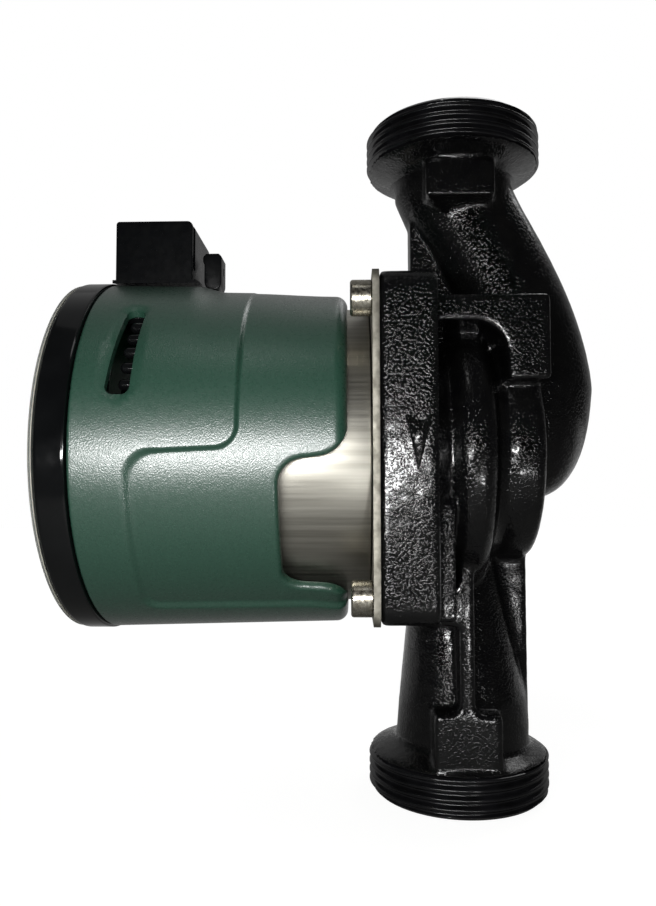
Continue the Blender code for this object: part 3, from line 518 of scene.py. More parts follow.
def sweep(name: str, stations: Sequence[Triple], steps: int = 96) -> bpy.types.Object:
    """Joins circles in the plane of the ports into a closed tube.

    Args:
        name: the object's name.
        stations: the circles as (x, z, radius).
        steps: points round a circle.

    Returns:
        The closed mesh.
    """
    angle = np.arange(steps) * 2 * math.pi / steps
    rows = []
    for i, (x, z, radius) in enumerate(stations):
        before, after = stations[max(i - 1, 0)], stations[min(i + 1, len(stations) - 1)]
        tangent = Vector((after[0] - before[0], 0, after[1] - before[1])).normalized()
        side = Vector((0, 1, 0)).cross(tangent)
        ring = np.outer(np.cos(angle), side) + np.outer(np.sin(angle), (0, 1, 0))
        rows.append(np.array((x, 0, z)) + ring * radius)
    count = len(stations)
    faces: list[tuple[int, ...]] = ring_faces(count, steps, False)
    faces += [tuple(range(steps)), tuple(range((count - 1) * steps, count * steps))]
    return new_object(name, np.concatenate(rows), faces)


def combine(target: bpy.types.Object, others: Sequence[bpy.types.Object], join: Join) -> None:
    """Adds Booleans to a closed mesh, bakes them and removes the other objects.

    Args:
        target: the object whose mesh is changed.
        others: the closed shapes that it is joined with or cut by.
        join: what is done with them.
    """
    for other in others:
        change = target.modifiers.new(other.name, "BOOLEAN")
        change.operation = join.value
        change.solver = "MANIFOLD"
        change.object = other
    bake(target)
    for other in others:
        bpy.data.objects.remove(other, do_unlink=True)


def bake(obj: bpy.types.Object) -> None:
    """Replaces an object's mesh by its evaluated one, with no modifiers left.

    Args:
        obj: the object whose modifiers are applied.
    """
    graph = bpy.context.evaluated_depsgraph_get()
    graph.update()
    mesh = bpy.data.meshes.new_from_object(obj.evaluated_get(graph))
    obj.modifiers.clear()
    obj.data = mesh


def bevel(obj: bpy.types.Object, width: float, segments: int = 3) -> None:
    """Rounds the sharp edges of a mesh.

    Args:
        obj: the object, whose mesh is changed.
        width: how far the round reaches, in millimetres.
        segments: facets across the round.
    """
    change = obj.modifiers.new("Bevel", "BEVEL")
    change.width = width * MM
    change.segments = segments
    change.limit_method = "ANGLE"
    change.angle_limit = math.radians(30.0)
    bake(obj)
    soften(obj, 50.0)


def hand_over(obj: bpy.types.Object, finish: Finish, body: Body, slot: Slot, *nodes: str) -> None:
    """Gives a finished piece its material and body.

    Args:
        obj: the piece.
        finish: what its surface is.
        body: the body that it rides on.
        slot: the record's material slot; not used.
        *nodes: the nodes of the frame that it stands for.
    """
    obj.data.materials.clear()
    obj.data.materials.append(KIT.get(finish))
    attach(obj, body.value)
    if nodes:
        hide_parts(*nodes)
    LOG.info("%s: %d faces", obj.name, len(obj.data.polygons))


def gather(name: str, parts: Sequence[bpy.types.Object]) -> bpy.types.Object:
    """Joins meshes into one object without cutting them, and removes the originals.

    Args:
        name: the new object's name.
        parts: what is joined.

    Returns:
        The new object.
    """
    bm = bmesh.new()
    for part in parts:
        bm.from_mesh(part.data)
    mesh = bpy.data.meshes.new(name)
    bm.to_mesh(mesh)
    bm.free()
    for part in parts:
        bpy.data.objects.remove(part, do_unlink=True)
    made = bpy.data.objects.new(name, mesh)
    bpy.context.scene.collection.objects.link(made)
    return made


def rod(low: float, high: float, radius: float) -> list[Pair]:
    """Profile of a solid rod."""
    return [(low, 0), (low, radius), (high, radius), (high, 0)]


def rolled_edge(front: float, radius: float, roll: float, points: int) -> list[Pair]:
    """Profile of an edge rolled over by a quarter turn, from its face to its side."""
    return [(front + roll - roll * math.cos(a), radius - roll + roll * math.sin(a))
            for a in np.linspace(0, math.pi / 2, points)]


def four_corners(half: float) -> list[Pair]:
    """The corners of a square about the X axis, in turn."""
    return [(-half, -half), (half, -half), (half, half), (-half, half)]


# Pump casing


@dataclass
class Casing:
    """The sand casting: flange block, scroll, suction bend, stem, webs, tablet and water passages.

    Outlines are (x, z) or (x, z, corner radius), and the stem's stations are (x, z, radius).
    """

    flange_half: float = 41.0
    flange_face_x: float = -22.0
    flange_back_x: float = -8.6
    flange_edge_r: float = 5.0
    shoulder: float = 79.8
    port_face: float = 90.0
    port_r: float = 23.9
    bore_r: float = 12.4
    chamber_r: float = 29.5
    volute_r: float = 37.8
    scroll_growth: float = 3.0
    ridge: Pair = (-3.2, 5.6)
    drum_end_x: float = 18.8
    wall: float = 3.8
    elbow: Pair = (20.0, 18.0)
    elbow_r: float = 17.4
    neck_z: float = 74.0
    neck_r: float = 14.5
    neck_flare: float = 1.6
    bend: float = 1.1
    dome: float = 30.3
    dome_power: float = 2.6
    dome_shift: float = 3.0
    stem: tuple[Triple, ...] = ((-0.3, -24.0, 11.1), (-0.2, -32.0, 11.7), (0.4, -49.0, 14.4),
                                (1.4, -65.5, 17.1), (1.4, -71.8, 17.5), (1.0, -79.2, 17.7))
    groove: Pair = (1.4, 3.6)
    outlet_wall: tuple[Triple, Triple] = ((-9.6, -32.0, -41.0), (-4.2, 0.0, -13.0))
    tablet: tuple[Triple, ...] = ((-9.6, 37.5, 0.0), (19.6, 37.5, 1.0), (19.6, 16.6, 1.0),
                                  (9.4, 16.6, 0.0), (9.4, 31.0, 8.5), (-9.6, 31.0, 0.0))
    tablet_y: Pair = (-29.5, -6.0)
    pad: Pair = (8.4, 22.0)
    pad_edge: float = 77.5
    inlet_pad: Pair = (10.8, 3.0)
    inlet_drop: float = 1.6
    inlet_inset: float = 4.2
    inlet_half: float = 9.1
    outlet_pad: float = 12.2
    rib_x: Pair = (-2.0, 1.7)
    rib_y: float = 21.8
    rib_flare: float = 1.8
    web_y: float = 4.5
    outlet_web: tuple[Pair, ...] = ((3.0, -20.5), (18.4, -20.5), (18.4, -79.4), (3.0, -79.4))
    inlet_web: tuple[Pair, ...] = ((-12.2, 38.0), (3.0, 38.0), (3.0, 74.0), (-12.2, 68.0))
    throat_r: Pair = (8.6, 8.8)
    recess_r: float = 36.0
    wear_seat_r: float = 15.4
    eye_r: float = 11.0
    screw_r: float = 2.7
    screw_half: float = 35.0
    voxel: float = 0.71
    rounding: int = 6
    lump_mm: float = 2.6
    lump_depth_mm: float = 0.14
    arrow: tuple[Pair, ...] = ((-16.7, 7.35), (-13.0, 5.25), (-10.1, 7.2), (-11.7, 1.4), (-13.6, -6.05),
                               (-15.1, 1.2))
    arrow_y: Pair = (-42.0, -40.5)
    overlap: float = 3.0

    def build(self) -> None:
        """Builds and dresses the casting and its flow arrow."""
        body = gather("cast_casing", self._outside())
        skin = body.modifiers.new("Skin", "REMESH")
        skin.mode = "VOXEL"
        skin.voxel_size = self.voxel * MM
        fillet = body.modifiers.new("Cast fillets", "SMOOTH")
        fillet.factor = 0.5
        fillet.iterations = self.rounding
        bake(body)
        roughen(body, self.lump_mm, self.lump_depth_mm)
        passages = self._passages()
        combine(passages[0], passages[1:], Join.UNION)
        combine(body, passages[:1], Join.DIFFERENCE)
        soften(body, 42.0)
        hand_over(body, CAST_IRON, Body.PUMP, Slot.IRON, "pump_casing")
        self._arrow()

    def _arrow(self) -> None:
        """The flow arrow cast on the flange block: a dart that points down towards the outlet."""
        arrow = prism("flow_arrow", self.arrow, *self.arrow_y, Axis.Y)
        bevel(arrow, 0.7, 1)
        hand_over(arrow, CAST_IRON, Body.PUMP, Slot.IRON)

    def _scroll(self, along: float, radius: float, angle: np.ndarray) -> np.ndarray:
        """How far the scroll falls back from its full radius.

        Args:
            along: the place on the axis, which makes no difference.
            radius: the profile's radius there.
            angle: angles round the axis.

        Returns:
            What to add to the radius at each angle.
        """
        if radius <= self.chamber_r + 3.0:
            return np.zeros_like(angle)
        return -self.scroll_growth * ((angle + 1.5 * math.pi) % (2 * math.pi)) / (2 * math.pi)

    def _suction(self, thickness: float, top: float) -> list[Triple]:
        """Lays circles down the suction bend.

        Args:
            thickness: the wall that is taken off the radius, or zero for the outside.
            top: the height of the first circle.

        Returns:
            The circles as (x, z, radius).
        """
        (elbow_x, elbow_z), power = self.elbow, self.dome_power
        path = [(0.0, top, self.bore_r if thickness else self.neck_r + 1.5)]
        for t in np.linspace(0, 1, 25):
            flare = self.neck_flare * max(0.0, 1 - 4 * t) ** 2
            radius = self.neck_r + (self.elbow_r - self.neck_r) * t ** 2.5 + flare
            x = elbow_x * math.sin(math.pi / 2 * t) ** self.bend
            path.append((x, self.neck_z + (elbow_z - self.neck_z) * t, radius - thickness))
        for u in np.sin(np.linspace(0.08, 1.0, 14) * math.pi / 2) * 0.985:
            radius = (self.elbow_r - thickness) * (1 - u ** power) ** (1 / power)
            path.append((elbow_x - self.dome_shift * u, elbow_z - (self.dome - thickness) * u, radius))
        return path

    def _outside(self) -> list[bpy.types.Object]:
        """Makes the outside of the casting.

        Returns:
            The solids whose union it is.
        """
        square = [(u, v, self.flange_edge_r) for u, v in four_corners(self.flange_half)]
        pieces = [prism("flange", rounded(square), self.flange_face_x, self.flange_back_x),
                  lathe("drum", self._drum(), reach=self._scroll),
                  sweep("suction", self._suction(0.0, self.shoulder - 1.0)),
                  sweep("stem", self.stem),
                  block("outlet_wall", *self.outlet_wall),
                  prism("outlet_web", self.outlet_web, -self.web_y, self.web_y, Axis.Y),
                  prism("inlet_web", self.inlet_web, -self.web_y, self.web_y, Axis.Y),
                  prism("tablet", rounded(self.tablet), *self.tablet_y, Axis.Y)]
        end, rim, neck = self.shoulder, self.port_r - 0.3, self.neck_r
        cone = [(end - 7, 0), (end - 7, neck + 0.4), (end - 3.2, neck + 2.2), (end - 0.6, rim),
                (end - 0.1, rim), (end - 0.1, 0)]
        pieces += [lathe("cone", [(sign * z, r) for z, r in cone], Axis.Z) for sign in (1, -1)]
        return pieces + self._pads_and_rib()

    def _drum(self) -> list[Pair]:
        """Draws the drum: a sloped groove behind the flange, the scroll's ridge and the back wall.

        Returns:
            The profile as (x, radius).
        """
        (low, high), volute, back = self.ridge, self.volute_r, self.chamber_r - 1.0
        start, end, (run, depth) = self.flange_back_x - self.overlap, self.drum_end_x, self.groove
        return [(start, 0), (start, volute), (self.flange_back_x, volute), (low - run, volute - depth),
                (low, volute - run), (low + 2, volute), (high - 2.2, volute), (high, volute - 2),
                (high + 1.2, back + 1), (high + 4.2, back - 1), (high + 5.4, back), (end - 1.5, back),
                (end, back - 1.5), (end, 0)]

    def _pads_and_rib(self) -> list[bpy.types.Object]:
        """Makes the wrench pads at both ends and the rib that runs down the stem into the lower pads.

        Returns:
            The solids.
        """
        (pad_x, pad_y), edge, (tall, run) = self.pad, self.pad_edge, self.inlet_pad
        foot, root = edge - tall, self.neck_r - 1.5
        top = self.outlet_pad - edge
        near, wide = pad_y - self.inlet_inset, self.inlet_half
        inlet = block("inlet_pads", (-wide, -near, foot), (wide, near, edge - self.inlet_drop))
        gusset = taper("inlet_gussets", (-wide, wide, near, foot + 0.2), (-4.0, 9.0, root, foot - run))
        outlet = block("outlet_pads", (-pad_x, -pad_y, -edge), (pad_x, pad_y, top))
        (x0, x1), blend, low = self.rib_x, self.flange_back_x + 1.6, -self.flange_half
        inside, flare = 6 - self.chamber_r, self.rib_flare
        rib = [(x1, inside), (x0, inside), (x0, -2.5 - self.chamber_r), (blend, low - 1.8),
               (blend, low - 2.6), (x0, low - 3.0), (x0, top + flare), (x0 - flare, top),
               (x0 - flare, top - 3), (x1 + flare, top - 3), (x1 + flare, top), (x1, top + flare)]
        return [inlet, gusset, outlet, prism("rib", rib, -self.rib_y, self.rib_y, Axis.Y)]

    def _passages(self) -> list[bpy.types.Object]:
        """Makes what cuts the water passages, the seal's recess and the screw holes.

        Returns:
            The cutters.
        """
        face, channel_end = self.flange_face_x, self.ridge[1] - 0.8
        channel_r, channel_start = self.volute_r - self.wall, self.ridge[0] + 0.6
        channel = [(channel_start, 0), (channel_start, channel_r), (channel_end - 1.5, channel_r),
                   (channel_end, self.chamber_r), (channel_end, 0)]
        throat_top, outside = 6 - self.chamber_r, self.port_face + self.overlap
        throat = [(throat_top, 0), (throat_top, self.throat_r[0]), (-self.flange_half, self.throat_r[1]),
                  (-outside, self.bore_r), (-outside, 0)]
        cutters = [lathe("recess", rod(face - 2, face + 4.8, self.recess_r), steps=72),
                   lathe("chamber", rod(face + 3.8, channel_end - 3, self.chamber_r), steps=66),
                   lathe("channel", channel, steps=60, reach=self._scroll),
                   lathe("wear_seat", rod(channel_end - 1, channel_end + 4.4, self.wear_seat_r), steps=44),
                   lathe("eye", rod(channel_end - 2, self.elbow[0] - 3.7, self.eye_r), steps=42),
                   sweep("suction_bore", self._suction(self.wall, outside), 50),
                   lathe("throat", throat, Axis.Z, steps=54)]
        return cutters + [lathe("screw_hole", rod(face - 2, -10.5, self.screw_r), centre=corner, steps=22)
                          for corner in four_corners(self.screw_half)]


def roughen(obj: bpy.types.Object, size: float, depth: float) -> None:
    """Moves a mesh's points along their normals by a smooth pattern of noise.

    Args:
        obj: the object, whose mesh is changed.
        size: the size of a lump in millimetres.
        depth: how far the pattern reaches in millimetres.
    """
    tree, inlet, known = new_tree("Cast lumps", {"Lump scale": "Float", "Lump depth": "Float"})
    noise = add_node(tree, "ShaderNodeTexNoise", {"Scale": inlet["Lump scale"]}, {"Detail": 1.0})
    centred = add_node(tree, "ShaderNodeMath", {0: noise.outputs["Fac"]}, {1: 0.5}, operation="SUBTRACT")
    height = add_node(tree, "ShaderNodeMath", {0: centred.outputs[0], 1: inlet["Lump depth"]},
                      operation="MULTIPLY")
    normal = add_node(tree, "GeometryNodeInputNormal")
    shift = add_node(tree, "ShaderNodeVectorMath", {0: normal.outputs[0], "Scale": height.outputs[0]},
                     operation="SCALE")
    moved = add_node(tree, "GeometryNodeSetPosition",
                     {"Geometry": inlet["Geometry"], "Offset": shift.outputs[0]})
    dress_and_end(tree, moved.outputs[0], CAST_IRON)
    apply_tree(obj, tree, {known["Lump scale"]: 1.0 / (size * MM), known["Lump depth"]: depth * MM})


def new_tree(name: str, inputs: dict[str, str]
             ) -> tuple[bpy.types.NodeTree, bpy.types.NodeOutputs, dict[str, str]]:
    """Starts a geometry tree that takes a mesh and gives one back.

    Args:
        name: the tree's name.
        inputs: the kind of value of each named input.

    Returns:
        The tree, what its input node gives, and the identifier of each named input.
    """
    tree = bpy.data.node_groups.new(name, "GeometryNodeTree")
    for way in ("INPUT", "OUTPUT"):
        tree.interface.new_socket("Geometry", in_out=way, socket_type="NodeSocketGeometry")
    known = {}
    for label, kind in inputs.items():
        socket = tree.interface.new_socket(label, in_out="INPUT", socket_type=f"NodeSocket{kind}")
        known[label] = socket.identifier
    return tree, add_node(tree, "NodeGroupInput").outputs, known


def dress_and_end(tree: bpy.types.NodeTree, shape: bpy.types.NodeSocket, finish: Finish) -> None:
    """Ends a geometry tree with realised instances and a material.

    Args:
        tree: the geometry tree.
        shape: what it has made.
        finish: what the surface is.
    """
    real = add_node(tree, "GeometryNodeRealizeInstances", {0: shape})
    dressed = add_node(tree, "GeometryNodeSetMaterial", {"Geometry": real.outputs[0]},
                       {"Material": KIT.get(finish)})
    add_node(tree, "NodeGroupOutput", {0: dressed.outputs[0]})


def apply_tree(obj: bpy.types.Object, tree: bpy.types.NodeTree, values: dict[str, object]) -> None:
    """Runs a geometry tree on an object and keeps the plain mesh that it gives.

    Args:
        obj: the object, whose mesh is changed.
        tree: the geometry tree.
        values: the tree's inputs, by identifier.
    """
    change = obj.modifiers.new(tree.name, "NODES")
    change.node_group = tree
    for identifier, value in values.items():
        change[identifier] = value
    bake(obj)


@dataclass
class ThreadedEnd:
    """A pipe thread cut on one end of the casing."""

    name: str
    sign: int
    crest_r: float = 23.9
    depth: float = 1.3
    pitch: float = 2.309
    shoulder: float = 79.8
    face: float = 90.0
    bore_r: float = 12.4
    chamfer: float = 1.5
    steps: int = 192

    def build(self) -> None:
        """Builds and dresses the thread."""
        rows = np.linspace(self.shoulder, self.face, 76)
        angle = np.arange(self.steps) * 2 * math.pi / self.steps
        rings = [self._ring(z, angle) for z in rows]
        inner = [(self.face, self.bore_r + 1.4), (self.face - 1.4, self.bore_r), (self.shoulder, self.bore_r)]
        for z, radius in inner:
            rings.append(axis_points(Axis.Z, np.float64(z), -radius * np.cos(angle), radius * np.sin(angle)))
        points = np.concatenate(rings) * (1, 1, self.sign)
        end = new_object(self.name, points, ring_faces(len(rings), self.steps, True), 40.0)
        hand_over(end, CUT_IRON, Body.PUMP, Slot.IRON)

    def _ring(self, z: float, angle: np.ndarray) -> np.ndarray:
        """Makes one ring of the thread: a rounded V that climbs with the angle, chamfered at the face.

        Args:
            z: the ring's height.
            angle: angles round the port.

        Returns:
            The ring's points.
        """
        phase = ((z - self.shoulder) / self.pitch - angle / (2 * math.pi)) % 1.0
        wave = np.abs(phase * 2 - 1)
        wave = np.clip(wave * 1.3 - 0.15, 0, 1)
        wave = wave * wave * (3 - 2 * wave)
        radius = self.crest_r - self.depth * wave
        radius = np.minimum(radius, self.crest_r - max(0.0, z - (self.face - self.chamfer)) * 1.1)
        return axis_points(Axis.Z, np.float64(z), -radius * np.cos(angle), radius * np.sin(angle))


# Electronics housing


@dataclass
class Housing:
    """The green shell over the motor, laid out flat as (x, arc) and wrapped round the X axis.

    The corners of the panel and the notch are (x, degrees, corner radius) on the near side. The offsets are
    where extra rows of points follow an edge, so that its step or round is smooth. The panel's step is soft
    at its front and its foot, and fades over the top.
    """

    front_x: float = -91.5
    back_x: float = -29.5
    front_r: float = 46.6
    back_r: float = 45.1
    wall: float = 2.4
    step: float = 1.0
    arc_r: float = 45.0
    lip: float = 0.7
    notch_lip: float = 1.3
    roll: float = 3.0
    top_fall: float = 1.42
    top_sag: float = 0.45
    fall_x: Pair = (-69.0, -62.0)
    can_r: float = 39.6
    seam: float = -90.0
    crown: Pair = (0.42, 0.98)
    panel_mid_x: float = -54.0
    panel: tuple[Triple, ...] = ((-23.5, -62.5, 0.0), (-39.0, -57.0, 14.0), (-78.5, -56.2, 4.0),
                                 (-78.5, -2.0, 6.0), (-54.0, -0.5, 5.0))
    step_half: Pair = (0.5, 0.6)
    soft_x: Pair = (-77.0, -70.0)
    soft_turn: Pair = (-50.0, -25.0)
    top_fade: float = 0.8
    notch: tuple[Triple, ...] = ((-29.5, -50.4, 7.0), (-44.8, -47.6, 5.5), (-45.0, -4.8, 6.0))
    panel_offsets: tuple[float, ...] = (-1.1, -0.7, -0.35, 0.0, 0.35, 0.7, 1.1)
    rim_offsets: tuple[float, ...] = (0.12, 0.3, 0.5, 0.75)
    rear_offsets: tuple[float, ...] = (1.05, 1.4, 1.8, 2.3, 2.8)
    slot_near: tuple[Pair, ...] = ((-84.1, 14.5), (-82.2, 47.0), (-77.8, 47.0), (-78.4, 14.5))
    grid_mm: float = 1.25

    def _crown(self, flat: np.ndarray) -> np.ndarray:
        """1 over the top of the shell and 0 on its sides."""
        return smooth(np.sin(flat[:, 1] / self.arc_r), *self.crown)

    def _base(self, flat: np.ndarray) -> np.ndarray:
        """Gives the radius before the panel's step: a slight taper, lower on top behind the connector's seat.

        Args:
            flat: points on the flat sheet.

        Returns:
            A radius for each point.
        """
        x, crown = flat[:, 0], self._crown(flat)
        t = np.clip((self.back_x - x) / (self.back_x - self.front_x), 0, 1)
        fall = self.top_fall * smooth(x, *self.fall_x)
        fall += self.top_sag * smooth(x, self.panel_mid_x, self.back_x - 5)
        return self.back_r + (self.front_r - self.back_r) * t - fall * crown

    def build(self) -> None:
        """Builds and dresses the shell."""
        flat, faces = self._sheet()
        base = self._base(flat)
        over = np.clip(flat[:, 0] - (self.back_x - self.roll), 0, self.roll)
        rolled = self.roll - np.sqrt(self.roll ** 2 - over ** 2)
        outer = base - self._panel_depth(flat) - np.maximum(rolled, self._lip_drop(flat))
        outer = np.maximum(outer, self.can_r + 0.9)
        inner = np.maximum(np.minimum(base - self.wall, outer - 0.6), self.can_r + 0.3)
        count = len(flat)
        points = np.concatenate([self._wrap(flat, outer), self._wrap(flat, inner)])
        shell = [tuple(f) for f in faces]
        shell += [tuple(i + count for i in reversed(f)) for f in faces]
        shell += [(b, a, a + count, b + count) for a, b in self._open_edges(flat, faces)]
        cover = new_object("housing_shell", points, shell, 180.0)
        bm = bmesh.new()
        bm.from_mesh(cover.data)
        bmesh.ops.remove_doubles(bm, verts=bm.verts, dist=0.01 * MM)
        bm.to_mesh(cover.data)
        bm.free()
        fix_normals(cover.data)
        soften(cover, 50.0)
        hand_over(cover, GREEN_MOULDING, Body.PUMP, Slot.GREEN, "electronics_housing")

    def _wrap(self, flat: np.ndarray, radius: np.ndarray) -> np.ndarray:
        """Wraps flat points round the X axis at the given radii."""
        angle = flat[:, 1] / self.arc_r
        return np.stack([flat[:, 0], -radius * np.cos(angle), radius * np.sin(angle)], axis=-1)

    def _arc(self, degrees: float) -> float:
        """Length of an angle on the flat sheet."""
        return math.radians(degrees) * self.arc_r

    def _both_sides(self, near: Sequence[Triple]) -> list[Triple]:
        """Corners (x, degrees, radius) of the near side, then of the far side, with arcs in millimetres."""
        far = [(x, 180.0 - a, r) for x, a, r in reversed(near)]
        return [(x, self._arc(a), r) for x, a, r in list(near) + far]

    def _rear(self) -> list[Pair]:
        """The rear edge from seam to seam, with a scallop on each side."""
        near = [(self.back_x, self.seam, 0), *self.notch, (self.back_x, -2.4, 7.5)]
        return dense(rounded(self._both_sides(near), 14), 0.45, False)

    def _slots(self) -> list[list[Pair]]:
        """Draws the two vent slots.

        Returns:
            Their outlines on the flat sheet.
        """
        near = [(x, self._arc(a), 2.0) for x, a in self.slot_near]
        far = [(x, self._arc(180 - a), 2.0) for x, a in reversed(self.slot_near)]
        return [dense(rounded(corners, 10), 0.4, True) for corners in (near, far)]

    def _panel(self) -> list[Pair]:
        """Outline of the sunk panel, which runs out behind the rear edge."""
        return dense(rounded(self._both_sides(self.panel), 14), 0.4, False)

    def _sheet(self) -> tuple[np.ndarray, list[list[int]]]:
        """Triangulates the flat sheet, with points along every edge and step.

        Returns:
            The points and the triangles.
        """
        rear, slots, panel = self._rear(), self._slots(), self._panel()
        low, high = rear[0][1], rear[-1][1]
        side = dense([(self.back_x, 0), (self.front_x, 0)], 0.9, False)[1:-1]
        front = dense([(self.front_x, high), (self.front_x, low)], 0.45, False)
        border = rear + [(x, high) for x, _ in side] + front + [(x, low) for x, _ in reversed(side)]
        loops = [border] + slots
        rims = [np.array(rear), np.array(front)] + [np.array(s + s[:1]) for s in slots]
        rows = [offset(np.array(panel), d) for d in self.panel_offsets]
        rows += [offset(r, d * s) for r, s in zip(rims, (1, 1, -1, -1)) for d in self.rim_offsets]
        rows += [offset(rims[0], d) for d in self.rear_offsets]
        xs = np.arange(self.front_x, self.back_x, self.grid_mm)
        vs = np.arange(low, high, self.grid_mm)
        grid = np.stack(np.meshgrid(xs, vs, indexing="ij"), -1).reshape(-1, 2)
        grid = grid[distance(grid, [np.array(panel)] + rims) > 0.9]
        edge = np.concatenate([np.array(x) for x in loops])
        inside = np.concatenate(rows + [grid])
        keep = self._inside(inside, loops) & (distance(inside, rims) > 0.1)
        keep &= (inside[:, 1] > low + 0.2) & (inside[:, 1] < high - 0.2)
        spots = np.concatenate([edge, inside[keep]])
        edges, start = [], 0
        for loop in loops:
            edges += [(start + i, start + (i + 1) % len(loop)) for i in range(len(loop))]
            start += len(loop)
        verts, _, faces, *_ = delaunay_2d_cdt([Vector(p) for p in spots.tolist()], edges, [], 0, 1e-5)
        flat = np.array([tuple(v) for v in verts])
        middle = np.array([flat[list(f)].mean(axis=0) for f in faces])
        good = self._inside(middle, loops)
        return flat, [list(f) for f, ok in zip(faces, good) if ok]

    @staticmethod
    def _inside(points: np.ndarray, loops: Sequence[Sequence[Pair]]) -> np.ndarray:
        """Finds the points on the sheet: inside the border and outside the slots.

        Args:
            points: points on the flat sheet.
            loops: the border and the slots.

        Returns:
            A flag for each point.
        """
        good = within(points, np.array(loops[0]))
        for hole in loops[1:]:
            good &= ~within(points, np.array(hole))
        return good

    def _panel_depth(self, flat: np.ndarray) -> np.ndarray:
        """Sinks the panel by a rounded step across its outline.

        Args:
            flat: points on the flat sheet.

        Returns:
            The depth at each point.
        """
        outline = np.array(self._panel())
        far = distance(flat, [outline])
        far = np.where(within(flat, outline), far, -far)
        side = np.degrees(flat[:, 1] / self.arc_r)
        side = np.minimum(side, 180 - side)
        sharp, more = self.step_half
        half = sharp + more * np.maximum(1 - smooth(flat[:, 0], *self.soft_x),
                                         1 - smooth(side, *self.soft_turn))
        return self.step * smooth(far / half, -1.0, 1.0) * (1 - self.top_fade * self._crown(flat))

    def _lip_drop(self, flat: np.ndarray) -> np.ndarray:
        """Rounds the surface over towards an edge.

        Args:
            flat: points on the flat sheet.

        Returns:
            How far each point drops.
        """
        rims = [np.array([(self.front_x, flat[:, 1].min()), (self.front_x, flat[:, 1].max())])]
        rims += [np.array(s + s[:1]) for s in self._slots()]
        drop = np.zeros(len(flat))
        for lines, lip in ((rims, self.lip), ([np.array(self._rear())], self.notch_lip)):
            short = np.clip(lip - distance(flat, lines), 0, lip)
            drop = np.maximum(drop, lip - np.sqrt(lip ** 2 - short ** 2))
        return drop

    @staticmethod
    def _open_edges(flat: np.ndarray, faces: Sequence[Sequence[int]]) -> list[tuple[int, int]]:
        """Finds the edges with a face on one side only, apart from the seam.

        Args:
            flat: points on the flat sheet.
            faces: the triangles.

        Returns:
            The edges as pairs of point numbers.
        """
        seen = {}
        for f in faces:
            for a, b in zip(f, f[1:] + f[:1]):
                seen[(a, b)] = True
        low, high = flat[:, 1].min() + 1e-6, flat[:, 1].max() - 1e-6
        found = []
        for a, b in seen:
            on_seam = max(flat[a, 1], flat[b, 1]) < low or min(flat[a, 1], flat[b, 1]) > high
            if (b, a) not in seen and not on_seam:
                found.append((a, b))
        return found


def smooth(value: np.ndarray, low: float, high: float) -> np.ndarray:
    """Rises smoothly from 0 at low to 1 at high."""
    t = np.clip((value - low) / (high - low), 0, 1)
    return t * t * (3 - 2 * t)


def dense(points: Sequence[Pair], spacing: float, closed: bool) -> list[Pair]:
    """Adds points along a line so that no gap is longer than the spacing.

    Args:
        points: the line's points.
        spacing: the longest gap.
        closed: whether the line returns to its start.

    Returns:
        The denser line.
    """
    ring = list(points) + ([points[0]] if closed else [])
    line = []
    for a, b in zip(ring, ring[1:]):
        count = max(1, math.ceil(math.dist(a, b) / spacing - 1e-6))
        line += [(a[0] + (b[0] - a[0]) * k / count, a[1] + (b[1] - a[1]) * k / count) for k in range(count)]
    return line if closed else line + [tuple(points[-1])]


def offset(line: np.ndarray, by: float) -> np.ndarray:
    """Moves a line sideways.

    Args:
        line: the line's points.
        by: how far to its left.

    Returns:
        The moved points.
    """
    along = np.gradient(line, axis=0)
    along /= np.linalg.norm(along, axis=1, keepdims=True)
    return line + np.stack([-along[:, 1], along[:, 0]], -1) * by


def distance(points: np.ndarray, lines: Sequence[np.ndarray]) -> np.ndarray:
    """Measures how far points lie from lines.

    Args:
        points: points on the flat sheet.
        lines: the lines.

    Returns:
        The shortest distance for each point.
    """
    best = np.full(len(points), 1e9)
    for line in lines:
        for a, b in zip(line, line[1:]):
            run = b - a
            t = np.clip(((points - a) @ run) / max(run @ run, 1e-12), 0, 1)
            best = np.minimum(best, np.linalg.norm(points - a - t[:, None] * run, axis=1))
    return best


def within(points: np.ndarray, loop: np.ndarray) -> np.ndarray:
    """Finds the points inside a closed outline.

    Args:
        points: points on the flat sheet.
        loop: the outline.

    Returns:
        A flag for each point.
    """
    odd = np.zeros(len(points), bool)
    for (u0, v0), (u1, v1) in zip(loop, np.roll(loop, -1, axis=0)):
        crosses = (v0 > points[:, 1]) != (v1 > points[:, 1])
        if v0 != v1:
            odd ^= crosses & (points[:, 0] < (u1 - u0) * (points[:, 1] - v0) / (v1 - v0) + u0)
    return odd


# Motor


